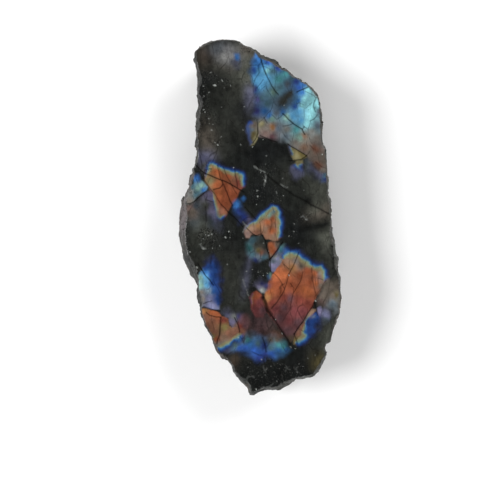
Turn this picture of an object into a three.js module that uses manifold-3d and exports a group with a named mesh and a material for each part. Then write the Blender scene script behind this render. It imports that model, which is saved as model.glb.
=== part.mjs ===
// A rough chunk of labradorite with one face ground flat and polished.
// The stone lies on its back, so the polished face looks up, along +Z. +Y runs along it and +X across it.
// The origin is on the surface it lies on, under the middle of its outline. All sizes are millimetres.
import * as THREE from 'three';
import { mergeVertices } from 'three/addons/utils/BufferGeometryUtils.js';
import Module from 'manifold-3d';

const wasm = await Module();
wasm.setup();

// Driving dimensions of the wall. It is widest at its girdle, just under the polished face,
// and from there it draws in down to the back.
const THICKNESS = 16;
const RING_COUNT = 13;
const RING_CROWDING = 1.35;
const GIRDLE_DEPTH = 0.9;
const GIRDLE_DEPTH_PER_STRIP = 2.4;
const GIRDLE_ROUNDING = 1.35;
const BACK_INSET = 2.2;
const BACK_INSET_SWING = 1.9;
const BACK_GRAIN = 11;

// The line down the middle of the stone that the wall draws in to
const SPINE_HALF_LENGTH = 30;
const SPINE_TOP_X = -3;
const SPINE_BOTTOM_X = 2.5;

// The broken facets of the wall, and how fast the notches of the outline wear away below the face
const FACET_SIZE = 7.5;
const FACET_DEPTH = 0.55;
const FACET_SLOPE = 0.3;
const NOTCH_REACH = 5;
const NOTCH_WEAR_POWER = 1.5;

// The weights of the repeatable random numbers, and the seeds of the facets
const HASH_WEIGHTS = [127.1, 311.7, 74.7];
const HASH_SCALE = 43758.5453;
const PLACE_SEED = 17;
const SLOPE_SEED = -29;
const DEPTH_SEED = 61;

const MERGE_DISTANCE = 1e-4;
const STONE_COLOR = 0x3a3c38;
const STONE_ROUGHNESS = 0.6;

// The outline of the stone seen from above, clockwise from the top left corner
const OUTLINE = [
  [-16.5, 41.6], [-15.5, 42.5], [-14.25, 43.4], [-12.25, 44.4], [-10.25, 44.8], [-8.0, 44.9],
  [-6.25, 44.6], [-4.75, 44.0], [-3.25, 43.1], [-2.25, 42.75], [-1.75, 42.2], [-1.0, 42.2],
  [-0.5, 41.75], [0, 41.3], [0.8, 41.05], [1.2, 40.6], [2.0, 40.3], [3.5, 39.6],
  [4.25, 39.05], [4.6, 38.5], [5.1, 38.3], [5.9, 37.45], [7.25, 36.75], [8.0, 36.1],
  [8.75, 35.55], [9.6, 35.2], [10.25, 34.7], [12.0, 33.6], [13.0, 32.95], [13.75, 32.4],
  [14.5, 31.55], [14.9, 30.6], [15.0, 29.5], [15.3, 28.9], [15.3, 27.4], [15.55, 25.9],
  [15.5, 24.1], [15.45, 22.9], [15.75, 21.1], [15.9, 19.1], [16.0, 18.3], [16.4, 18.05],
  [16.7, 17.0], [16.8, 15.4], [17.0, 13.9], [17.1, 11.6], [17.25, 9.1], [17.45, 7.6],
  [17.3, 6.1], [17.7, 4.5], [18.0, 2.4], [18.2, 0.1], [18.2, -2.6], [18.6, -4.6],
  [18.9, -6.1], [19.2, -7.9], [19.6, -9.6], [19.65, -10.6], [19.5, -11.6], [19.9, -13.0],
  [20.25, -15.4], [20.4, -17.1], [20.7, -19.6], [20.6, -21.4], [20.35, -22.6], [20.4, -23.4],
  [19.9, -24.5], [19.25, -25.75], [18.75, -27.4], [18.25, -28.9], [18.0, -30.25], [17.9, -31.05],
  [17.4, -31.4], [16.8, -31.7], [16.6, -32.6], [16.9, -34.0], [16.5, -34.9], [15.8, -35.5],
  [15.6, -36.6], [15.1, -38.0], [14.4, -39.1], [13.25, -40.2], [12.0, -40.4], [10.6, -40.8],
  [9.75, -40.9], [8.5, -41.4], [7.4, -42.2], [6.4, -42.5], [5.1, -43.3], [3.5, -43.6],
  [1.75, -43.6], [0.1, -44.1], [-1.0, -44.7], [-2.0, -44.9], [-2.6, -44.4], [-2.8, -43.4],
  [-3.5, -42.4], [-4.75, -41.45], [-5.5, -40.5], [-6.1, -39.25], [-6.75, -38.6], [-7.4, -36.9],
  [-8.1, -36.1], [-9.0, -35.2], [-9.7, -34.4], [-10.25, -34.25], [-10.9, -33.4], [-11.55, -32.0],
  [-12.4, -30.0], [-13.25, -28.1], [-13.9, -26.9], [-14.5, -25.4], [-14.9, -24.6], [-15.1, -22.9],
  [-15.4, -20.6], [-15.8, -18.6], [-16.2, -17.1], [-16.75, -15.6], [-17.4, -14.5], [-17.9, -13.0],
  [-18.5, -11.75], [-19.25, -10.5], [-19.8, -8.9], [-20.2, -7.4], [-20.5, -5.9], [-20.55, -4.1],
  [-20.4, -1.9], [-19.9, 0.6], [-19.75, 2.4], [-19.25, 4.9], [-18.8, 6.5], [-18.2, 7.6],
  [-17.7, 9.4], [-17.2, 10.9], [-17.2, 12.25], [-16.4, 13.9], [-16.1, 15.1], [-16.2, 18.1],
  [-16.2, 20.4], [-16.1, 23.4], [-16.0, 26.6], [-15.5, 28.4], [-15.9, 29.5], [-16.4, 31.1],
  [-16.3, 32.5], [-15.75, 34.0], [-15.9, 35.6], [-16.2, 38.1], [-16.5, 40.1],
];

// How far the broken wall shows outside the polished face: [place along the length, width of the strip]
const LEFT_STRIP = [
  [45, 0.4], [40, 0.4], [38, 0.7], [35, 0.8], [33, 1.0], [30, 1.1], [27, 0.9], [24, 0.7], [20, 0.6],
  [15, 0.6], [12.5, 0.5], [10, 0.9], [7, 0.8], [3, 1.1], [-0.5, 1.9], [-3, 1.6], [-6, 1.8], [-10.6, 1.9],
  [-12, 2.3], [-13.5, 2.1], [-15, 1.6], [-17, 1.0], [-19, 0.6], [-21, 0.5], [-30, 0.4], [-36, 0.4],
  [-39, 0.6], [-41.5, 1.0], [-45, 1.2],
];
const RIGHT_STRIP = [
  [45, 0.5], [42, 0.9], [39.5, 0.9], [37, 0.4], [34, 0.45], [32, 1.0], [30, 0.5], [28, 0.3], [18, 0.4],
  [10, 0.3], [0, 0.4], [-4, 0.9], [-8, 0.8], [-11, 0.7], [-15, 0.35], [-20, 0.6], [-25, 0.3], [-31, 0.4],
  [-36, 0.35], [-38, 0.7], [-40, 0.9], [-42, 1.1], [-45, 1.6],
];

// Flat breaks that cut the wall away below its widest line.
// at is where the break leaves the outline, heading is the way it looks in degrees from +X,
// lean is how far it looks down and length is how far it runs along the wall.
const BREAKS = [
  { at: [15.6, 25, 9], heading: 3, lean: 19, length: 15 },
  { at: [17.2, 10.5, 7], heading: 9, lean: 31, length: 20 },
  { at: [18.6, -4.5, 10.5], heading: 2, lean: 16, length: 13 },
  { at: [20.3, -17, 8], heading: 13, lean: 27, length: 17 },
  { at: [19.3, -26, 9.5], heading: -19, lean: 20, length: 10 },
  { at: [15.9, -36, 9], heading: -30, lean: 22, length: 12 },
  { at: [9.5, -41.2, 8], heading: -64, lean: 36, length: 14 },
  { at: [1.0, -43.9, 9.5], heading: -82, lean: 22, length: 11 },
  { at: [-4.8, -41.4, 10], heading: 222, lean: 19, length: 12 },
  { at: [-10.6, -33.6, 8], heading: 210, lean: 33, length: 14 },
  { at: [-14.8, -24, 9.5], heading: 198, lean: 21, length: 12 },
  { at: [-18.3, -12.3, 7.5], heading: 206, lean: 30, length: 13 },
  { at: [-20.4, -3, 9], heading: 176, lean: 22, length: 15 },
  { at: [-18.3, 7.5, 6.5], heading: 169, lean: 35, length: 14 },
  { at: [-16.2, 20, 10], heading: 183, lean: 17, length: 18 },
  { at: [-16.0, 33, 8], heading: 175, lean: 28, length: 13 },
  { at: [-13.0, 44, 8.5], heading: 117, lean: 30, length: 11 },
  { at: [-4.0, 43.6, 9.5], heading: 74, lean: 20, length: 10 },
  { at: [5.5, 38, 8], heading: 60, lean: 33, length: 12 },
  { at: [12.6, 33, 9.5], heading: 50, lean: 21, length: 10 },
];
const BREAK_BLOCK_SIZE = 40;

// Wide, shallow spalls knocked out of the wall and the edge of the back
const SPALLS = [
  { at: [25.5, 15, 5], radii: [10, 8, 6.5], turn: 6 },
  { at: [26.5, -30, 7], radii: [9.5, 7.5, 6], turn: -24 },
  { at: [14.5, -44.0, 2.0], radii: [8, 7, 7], turn: -30 },
  { at: [-14.6, -39.5, 6], radii: [8, 8.5, 6.0], turn: 38 },
  { at: [-25.5, -16, 5], radii: [9, 7, 6.5], turn: 20 },
  { at: [-25.5, 13, 4], radii: [9.5, 7.5, 7], turn: -14 },
  { at: [-23.4, 30, 7], radii: [9, 7, 6], turn: 4 },
  { at: [-14, 51.5, 4], radii: [9, 9.5, 7], turn: 18 },
  { at: [12.5, 42.0, 4], radii: [9, 8, 7], turn: -24 },
];
const SPALL_SIDES = 24;

// Low steps broken along the cleavage out of the edge of the back.
// at is the foot of the step's upright side, heading the way it opens and height how far up it reaches.
const STEPS = [
  { at: [13.5, 12], heading: 12, height: 1.1, length: 34 },
  { at: [9.5, 27.5], heading: 52, height: 1.9, length: 20 },
  { at: [-13.2, -12], heading: 196, height: 0.8, length: 30 },
  { at: [2, -35.5], heading: -84, height: 1.5, length: 26 },
  { at: [-12.4, 30], heading: 158, height: 1.4, length: 22 },
];
const STEP_BLOCK_SIZE = 30;
const STEP_SLOPE = 9;

// The shifts from a cell of space to itself and to its neighbours
const SHIFTS = [-1, 0, 1];
const NEIGHBOURS = SHIFTS.flatMap((i) => SHIFTS.flatMap((j) => SHIFTS.map((k) => [i, j, k])));

// The value that a table gives for a place along the length
function tableValue(table, y) {
  for (let i = 1; i < table.length; i += 1) {
    const [y0, v0] = table[i - 1];
    const [y1, v1] = table[i];
    if (y >= y1) {
      return THREE.MathUtils.mapLinear(Math.min(y, y0), y1, y0, v1, v0);
    }
  }
  return table[table.length - 1][1];
}

// A repeatable random number from 0 to 1 for a cell of space
function cellRandom(i, j, k) {
  const [a, b, c] = HASH_WEIGHTS;
  const wave = Math.sin(i * a + j * b + k * c) * HASH_SCALE;
  return wave - Math.floor(wave);
}

// Smooth noise from -1 to 1 at a point of space, mixed from the random numbers of the 8 corners around it
function noise(x, y, z) {
  const cell = [Math.floor(x), Math.floor(y), Math.floor(z)];
  const ease = [x - cell[0], y - cell[1], z - cell[2]].map((t) => t * t * (3 - 2 * t));
  let sum = 0;
  for (let corner = 0; corner < 8; corner += 1) {
    const step = [corner & 1, (corner >> 1) & 1, (corner >> 2) & 1];
    const weight = step.reduce((w, s, axis) => w * (s ? ease[axis] : 1 - ease[axis]), 1);
    sum += weight * cellRandom(cell[0] + step[0], cell[1] + step[1], cell[2] + step[2]);
  }
  return 2 * sum - 1;
}

// How deep the broken facet lies that a point of the wall is on, in mm.
// The wall falls into cells, and each cell is a plane with a depth and a slope of its own.
function facetDepth(x, y, z) {
  const point = [x / FACET_SIZE, y / FACET_SIZE, z / FACET_SIZE];
  const home = point.map(Math.floor);
  let nearest = Infinity;
  let depth = 0;
  for (const shift of NEIGHBOURS) {
    const cell = home.map((start, axis) => start + shift[axis]);
    const random = (seed) => cellRandom(cell[0] + seed, cell[1] + seed, cell[2] + seed);
    const away = point.map((value, axis) => value - cell[axis] - random(PLACE_SEED * (axis + 1)));
    const distance = Math.hypot(...away);
    if (distance < nearest) {
      nearest = distance;
      const slopes = away.map((_, axis) => 2 * random(SLOPE_SEED * (axis + 1)) - 1);
      const rise = away.reduce((sum, step, axis) => sum + step * slopes[axis], 0);
      depth = FACET_DEPTH * (2 * random(DEPTH_SEED) - 1) + FACET_SLOPE * FACET_SIZE * rise;
    }
  }
  return depth;
}

// The unit step from an outline point towards the line that runs down the middle of the stone
function inward([x, y]) {
  const spineY = THREE.MathUtils.clamp(y, -SPINE_HALF_LENGTH, SPINE_HALF_LENGTH);
  const spineX = THREE.MathUtils.mapLinear(
    spineY, -SPINE_HALF_LENGTH, SPINE_HALF_LENGTH, SPINE_BOTTOM_X, SPINE_TOP_X);
  return new THREE.Vector2(spineX - x, spineY - y).normalize();
}

// The outline with its notches worn away, for the wall far below the polished face.
// Each point is the mean of the points up to reach places before and after it.
function smoothed(outline, reach) {
  return outline.map((_, i) => {
    const mean = new THREE.Vector2();
    for (let k = -reach; k <= reach; k += 1) {
      const [x, y] = outline[(i + k + outline.length) % outline.length];
      mean.add(new THREE.Vector2(x, y));
    }
    return mean.divideScalar(2 * reach + 1).toArray();
  });
}

// How far in from the outline the wall stands at height z
function wallInset(x, y, z) {
  const strip = tableValue(x < 0 ? LEFT_STRIP : RIGHT_STRIP, y);
  const girdle = THICKNESS - GIRDLE_DEPTH - GIRDLE_DEPTH_PER_STRIP * strip;
  if (z >= girdle) {
    return strip * THREE.MathUtils.mapLinear(z, girdle, THICKNESS, 0, 1) ** GIRDLE_ROUNDING;
  }
  const back = BACK_INSET + BACK_INSET_SWING * noise(x / BACK_GRAIN, y / BACK_GRAIN, 0);
  const belly = Math.sqrt(Math.sin((Math.PI * z) / girdle));
  const facet = Math.max(0, facetDepth(x, y, z) + FACET_DEPTH / 2);
  return back * (1 - z / girdle) ** GIRDLE_ROUNDING + belly * facet;
}

// One ring of the wall at height z
function wallRing(worn, z) {
  const wear = (1 - z / THICKNESS) ** NOTCH_WEAR_POWER;
  return OUTLINE.map(([x0, y0], i) => {
    const x = THREE.MathUtils.lerp(x0, worn[i][0], wear);
    const y = THREE.MathUtils.lerp(y0, worn[i][1], wear);
    const step = inward([x, y]);
    const inset = wallInset(x0, y0, z);
    return [x + step.x * inset, y + step.y * inset, z];
  });
}

// The triangles that close a ring
function capTriangles(ring) {
  return THREE.ShapeUtils.triangulateShape(ring.map(([x, y]) => new THREE.Vector2(x, y)), []);
}

// The stone before it was broken further: rings up the wall, closed by the back and the polished face
function roughBody() {
  const worn = smoothed(OUTLINE, NOTCH_REACH);
  const count = OUTLINE.length;
  const rings = [];
  for (let k = 0; k < RING_COUNT; k += 1) {
    const rise = k / (RING_COUNT - 1);
    rings.push(wallRing(worn, THICKNESS * (1 - (1 - rise) ** RING_CROWDING)));
  }
  const faces = [];
  for (let k = 0; k < RING_COUNT - 1; k += 1) {
    for (let i = 0; i < count; i += 1) {
      const here = k * count + i;
      const next = k * count + (i + 1) % count;
      faces.push(here, here + count, next, next, here + count, next + count);
    }
  }
  const top = (RING_COUNT - 1) * count;
  for (const [a, b, c] of capTriangles(rings[0])) {
    faces.push(a, c, b);
  }
  for (const [a, b, c] of capTriangles(rings[RING_COUNT - 1])) {
    faces.push(top + a, top + b, top + c);
  }
  const geometry = new THREE.BufferGeometry();
  geometry.setAttribute('position', new THREE.Float32BufferAttribute(rings.flat(2), 3));
  geometry.setIndex(faces);
  return geometry;
}

// The solid inside a closed mesh, ready to be cut
function solid(geometry) {
  const bare = geometry.clone();
  bare.deleteAttribute('normal');
  bare.deleteAttribute('uv');
  const merged = mergeVertices(bare, MERGE_DISTANCE);
  const mesh = new wasm.Mesh({
    numProp: 3,
    vertProperties: new Float32Array(merged.attributes.position.array),
    triVerts: new Uint32Array(merged.index.array),
  });
  return new wasm.Manifold(mesh);
}

// A block whose inner side is the plane of a break
function breakBlock({ at, heading, lean, length }) {
  const block = new THREE.BoxGeometry(BREAK_BLOCK_SIZE, length, BREAK_BLOCK_SIZE);
  block.translate(BREAK_BLOCK_SIZE / 2, 0, 0);
  block.rotateY(THREE.MathUtils.degToRad(lean));
  block.rotateZ(THREE.MathUtils.degToRad(heading));
  block.translate(...at);
  return block;
}

// A flattened ball that scoops a spall out of the wall
function spallBall({ at, radii, turn }) {
  const ball = new THREE.SphereGeometry(1, SPALL_SIDES, SPALL_SIDES / 2);
  ball.scale(...radii);
  ball.rotateZ(THREE.MathUtils.degToRad(turn));
  ball.translate(...at);
  return ball;
}

// A block with one upright side at the foot of a step, its top sloping gently up and outwards
function stepBlock({ at, heading, height, length }) {
  const block = new THREE.BoxGeometry(STEP_BLOCK_SIZE, length, STEP_BLOCK_SIZE);
  block.translate(STEP_BLOCK_SIZE / 2, 0, -STEP_BLOCK_SIZE / 2);
  block.rotateY(THREE.MathUtils.degToRad(-STEP_SLOPE));
  block.rotateZ(THREE.MathUtils.degToRad(heading));
  block.translate(at[0], at[1], height);
  return block;
}

// The body with every break, spall and step cut away, set over the middle of its own outline
function brokenBody() {
  const cuts = [...BREAKS.map(breakBlock), ...SPALLS.map(spallBall), ...STEPS.map(stepBlock)];
  const body = cuts.reduce((left, cut) => left.subtract(solid(cut)), solid(roughBody()));
  const { vertProperties, triVerts } = body.getMesh();
  const geometry = new THREE.BufferGeometry();
  geometry.setAttribute('position', new THREE.BufferAttribute(new Float32Array(vertProperties), 3));
  geometry.setIndex(new THREE.BufferAttribute(new Uint32Array(triVerts), 1));
  geometry.computeVertexNormals();
  geometry.computeBoundingBox();
  const middle = geometry.boundingBox.getCenter(new THREE.Vector3());
  geometry.translate(-middle.x, -middle.y, 0);
  return geometry;
}

const stone = new THREE.MeshStandardMaterial({
  color: STONE_COLOR,
  roughness: STONE_ROUGHNESS,
  metalness: 0,
});
const chunk = new THREE.Mesh(brokenBody(), stone);
chunk.name = 'labradorite_chunk';

const model = new THREE.Group();
model.add(chunk);

export default model;
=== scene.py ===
"""A rough chunk of labradorite lying on its back, its polished face up, under soft studio light."""
import math
from itertools import product

import bmesh
import bpy
import numpy as np
from mathutils import Matrix, Vector
from mathutils.geometry import delaunay_2d_cdt


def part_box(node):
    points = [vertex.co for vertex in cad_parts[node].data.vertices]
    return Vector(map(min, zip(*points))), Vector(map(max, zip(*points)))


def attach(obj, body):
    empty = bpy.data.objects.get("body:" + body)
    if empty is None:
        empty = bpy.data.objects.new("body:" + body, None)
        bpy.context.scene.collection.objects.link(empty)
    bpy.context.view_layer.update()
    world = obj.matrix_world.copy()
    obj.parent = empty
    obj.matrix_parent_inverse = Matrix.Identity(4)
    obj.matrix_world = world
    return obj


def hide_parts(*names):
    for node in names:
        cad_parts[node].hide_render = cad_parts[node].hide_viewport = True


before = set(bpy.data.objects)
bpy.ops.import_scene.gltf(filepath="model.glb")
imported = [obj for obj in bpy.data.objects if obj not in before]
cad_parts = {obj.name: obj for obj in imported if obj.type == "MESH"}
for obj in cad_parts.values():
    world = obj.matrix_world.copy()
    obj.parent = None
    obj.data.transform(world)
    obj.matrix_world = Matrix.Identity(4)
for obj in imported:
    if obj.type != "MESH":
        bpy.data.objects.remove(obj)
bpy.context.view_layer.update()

NODE = "labradorite_chunk"
MM = 0.001

# Where the stone is in the photograph, which looks straight down on its polished face
PHOTO_MIDDLE = (260.0, 217.5)
PHOTO_SIZE = 500
MM_PER_PIXEL = 0.25

_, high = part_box(NODE)
FACE_HEIGHT = high.z / MM

# Sizes of the mesh in mm, and the angle in degrees from which its edges show sharp
SHELL_VOXEL = 0.385
FACE_SPACING = 0.26
FACE_JITTER = 0.07
CUT_BELOW_FACE = 0.35
LOOP_WELD = 0.09
SHARP_ANGLE = 38

# Seeds of the random cells and of the noises, so that every run makes the same stone
SEEDS = {
    "breaks": 11,
    "small breaks": 31,
    "ledge wander": 51,
    "ledge patches": 61,
    "grains": 71,
    "back bend": 91,
    "back steps": 93,
    "small back steps": 95,
    "face jitter": (91, 92),
    "crack wander": (101, 102),
    "chips": 121,
    "small chips": 122,
    "cloud wander": (131, 132),
    "patch wander": (141, 145),
    "edge swell": 148,
    "ragged edge": 149,
    "long waves": 151,
    "short waves": 152,
    "rim grain": 153,
    "fleck wander": (161, 162),
    "wall fade": 161,
    "scar places": 171,
    "scar depth": 181,
}

# The stone's colours are chosen as they look under the studio light, which is this much brighter than white
STUDIO_LIGHT = 1.42

# Colours given as sRGB from 0 to 255
PALETTE = {
    "body": (34, 36, 33),
    "black": (14, 16, 16),
    "soot": (20, 22, 24),
    "greygreen": (84, 86, 78),
    "dimgrey": (62, 63, 58),
    # The pale grey of the painted sheen
    "painted_sheen": (124, 124, 126),
    "brown": (72, 60, 50),
    "darkbrown": (58, 50, 44),
    "tan": (150, 120, 100),
    "taupe": (112, 102, 92),
    "grey": (134, 134, 130),
    "warmgrey": (138, 130, 122),
    "palegrey": (160, 164, 160),
    "pinkgrey": (128, 106, 100),
    "slate": (76, 86, 96),
    "steel": (88, 124, 138),
    "bluegrey": (116, 132, 144),
    "indigo": (34, 35, 78),
    "deep": (38, 52, 112),
    "royal": (46, 84, 160),
    "azure": (66, 128, 202),
    "sky": (94, 164, 210),
    "cyan": (140, 204, 210),
    "teal": (74, 138, 142),
    "seafoam": (142, 182, 168),
    "violet": (92, 90, 150),
    "lavender": (146, 140, 176),
    "lilac": (126, 128, 162),
    "straw": (166, 158, 118),
    "olive": (104, 94, 58),
    "amber": (190, 136, 88),
    "orange": (184, 104, 66),
    "rust": (156, 84, 56),
    "brick": (138, 70, 60),
    "redbrown": (118, 80, 64),
    "maroon": (116, 62, 64),
    "mauve": (118, 108, 112),
    "plum": (78, 54, 58),
}

# Cloudy patches deep in the dark stone, and a painted pale sheen near the top: middle, half width, half
# height, turn in degrees, colour, amount.
# Their middles and sizes are pixels of the photograph.
CLOUDS = [
    (270, 378, 52, 20, 0, "black", 0.85),
    (262, 152, 38, 17, 15, "soot", 0.75),
    (241, 150, 18, 13, 20, "black", 0.6),
    (243, 112, 14, 13, 0, "soot", 0.8),
    (262, 192, 22, 18, 20, "soot", 0.7),
    (230, 240, 26, 18, 0, "soot", 0.5),
    (295, 228, 20, 20, 20, "soot", 0.75),
    (300, 355, 26, 14, 0, "soot", 0.6),
    (256, 268, 10, 12, 0, "soot", 0.6),
    (252, 290, 5, 24, -12, "black", 0.8),
    (215, 152, 16, 8, 0, "dimgrey", 0.5),
    (236, 205, 8, 14, -30, "soot", 0.5),
    (268, 330, 14, 9, 0, "darkbrown", 0.6),
    (277, 337, 7, 4, 0, "redbrown", 0.6),
    (330, 286, 9, 10, 0, "dimgrey", 0.4),
    (309, 337, 12, 8, 0, "soot", 0.5),
    (246, 70, 13, 30, 0, "greygreen", 0.85),
    (226, 66, 12, 5, 0, "brown", 0.4),
    (251, 100, 6, 12, 0, "lilac", 0.25),
    (206, 62, 8, 10, 0, "brown", 0.4),
    (218, 66, 20, 12, 0, "dimgrey", 0.4),
    (250, 48, 9, 7, 30, "taupe", 0.55),
    # Painted sheen: a pale haze with grey and slate round it, near the top edge
    (228, 53, 13, 10, -10, "painted_sheen", 0.95),
    (226, 55, 7, 6, 0, "grey", 0.5),
    (216, 49, 10, 6, 30, "slate", 0.45),
    (205, 56, 10, 12, 0, "darkbrown", 0.7),
    (222, 68, 16, 8, 0, "dimgrey", 0.35),
    (207, 79, 9, 9, 0, "soot", 0.7),
    (200, 96, 6, 22, 0, "black", 0.8),
    (232, 92, 16, 16, 0, "dimgrey", 0.25),
    (251, 93, 6, 9, 20, "lilac", 0.3),
    (206, 139, 10, 18, 10, "taupe", 0.42),
    (228, 128, 18, 22, 30, "dimgrey", 0.3),
    (206, 157, 9, 8, 20, "lilac", 0.42),
    (319, 192, 13, 24, 0, "greygreen", 0.5),
    (322, 213, 15, 8, 15, "taupe", 0.45),
    (327, 238, 9, 14, 0, "greygreen", 0.9),
    (314, 210, 8, 5, 20, "greygreen", 0.5),
    (329, 262, 8, 14, 0, "dimgrey", 0.55),
    (286, 178, 18, 12, 20, "dimgrey", 0.3),
    (318, 226, 17, 3.6, 5, "black", 0.85),
    (306, 201, 7, 3.2, 30, "black", 0.7),
    (200, 226, 12, 18, 0, "greygreen", 0.5),
    (194, 222, 7, 8, 0, "slate", 0.3),
    (226, 266, 18, 26, 0, "dimgrey", 0.28),
    (236, 296, 18, 20, 0, "dimgrey", 0.32),
    (262, 326, 14, 13, 0, "plum", 0.6),
    (247, 262, 4, 12, -15, "lilac", 0.18),
    (244, 284, 4, 12, -15, "lilac", 0.2),
    (308, 164, 5, 9, 0, "slate", 0.5),
    (326, 336, 8, 18, 0, "greygreen", 0.5),
    (318, 360, 8, 9, 0, "olive", 0.45),
    (304, 330, 10, 12, 0, "dimgrey", 0.2),
    (232, 364, 6, 13, -30, "brown", 0.6),
    (276, 334, 5, 4, 0, "redbrown", 0.4),
    (204, 262, 9, 6, 20, "dimgrey", 0.4),
]

# The same for the broken wall round the face, with painted shade along its top rim
WALL_CLOUDS = [
    (183, 218, 9, 26, 0, "mauve", 0.85),
    (194, 186, 8, 12, 0, "mauve", 0.6),
    (198, 140, 12, 20, 0, "soot", 0.9),
    (196, 66, 10, 16, 0, "soot", 0.95),
    (198, 94, 14, 24, 0, "black", 1),
    (184, 264, 16, 16, 0, "soot", 1),
    (196, 290, 11, 22, 0, "soot", 0.9),
    (206, 330, 12, 24, 0, "soot", 0.9),
    (220, 355, 14, 12, -30, "darkbrown", 0.9),
    (238, 374, 16, 16, -30, "soot", 0.9),
    (258, 393, 18, 8, 0, "black", 0.9),
    (248, 46, 10, 6, 30, "taupe", 0.7),
    # Painted shade: a dark brown band along the top rim
    (222, 40, 16, 6, 0, "darkbrown", 0.6),
    (300, 74, 20, 6, 30, "slate", 0.5),
    (322, 130, 6, 30, 0, "dimgrey", 0.7),
    (330, 190, 6, 26, 0, "greygreen", 0.8),
    (336, 250, 6, 24, 0, "greygreen", 0.7),
    (340, 310, 8, 26, 0, "taupe", 0.6),
    (330, 345, 10, 14, 0, "dimgrey", 0.7),
    (304, 378, 16, 6, -20, "palegrey", 0.35),
    (192, 166, 5, 5, 0, "soot", 0.9),
]

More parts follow.
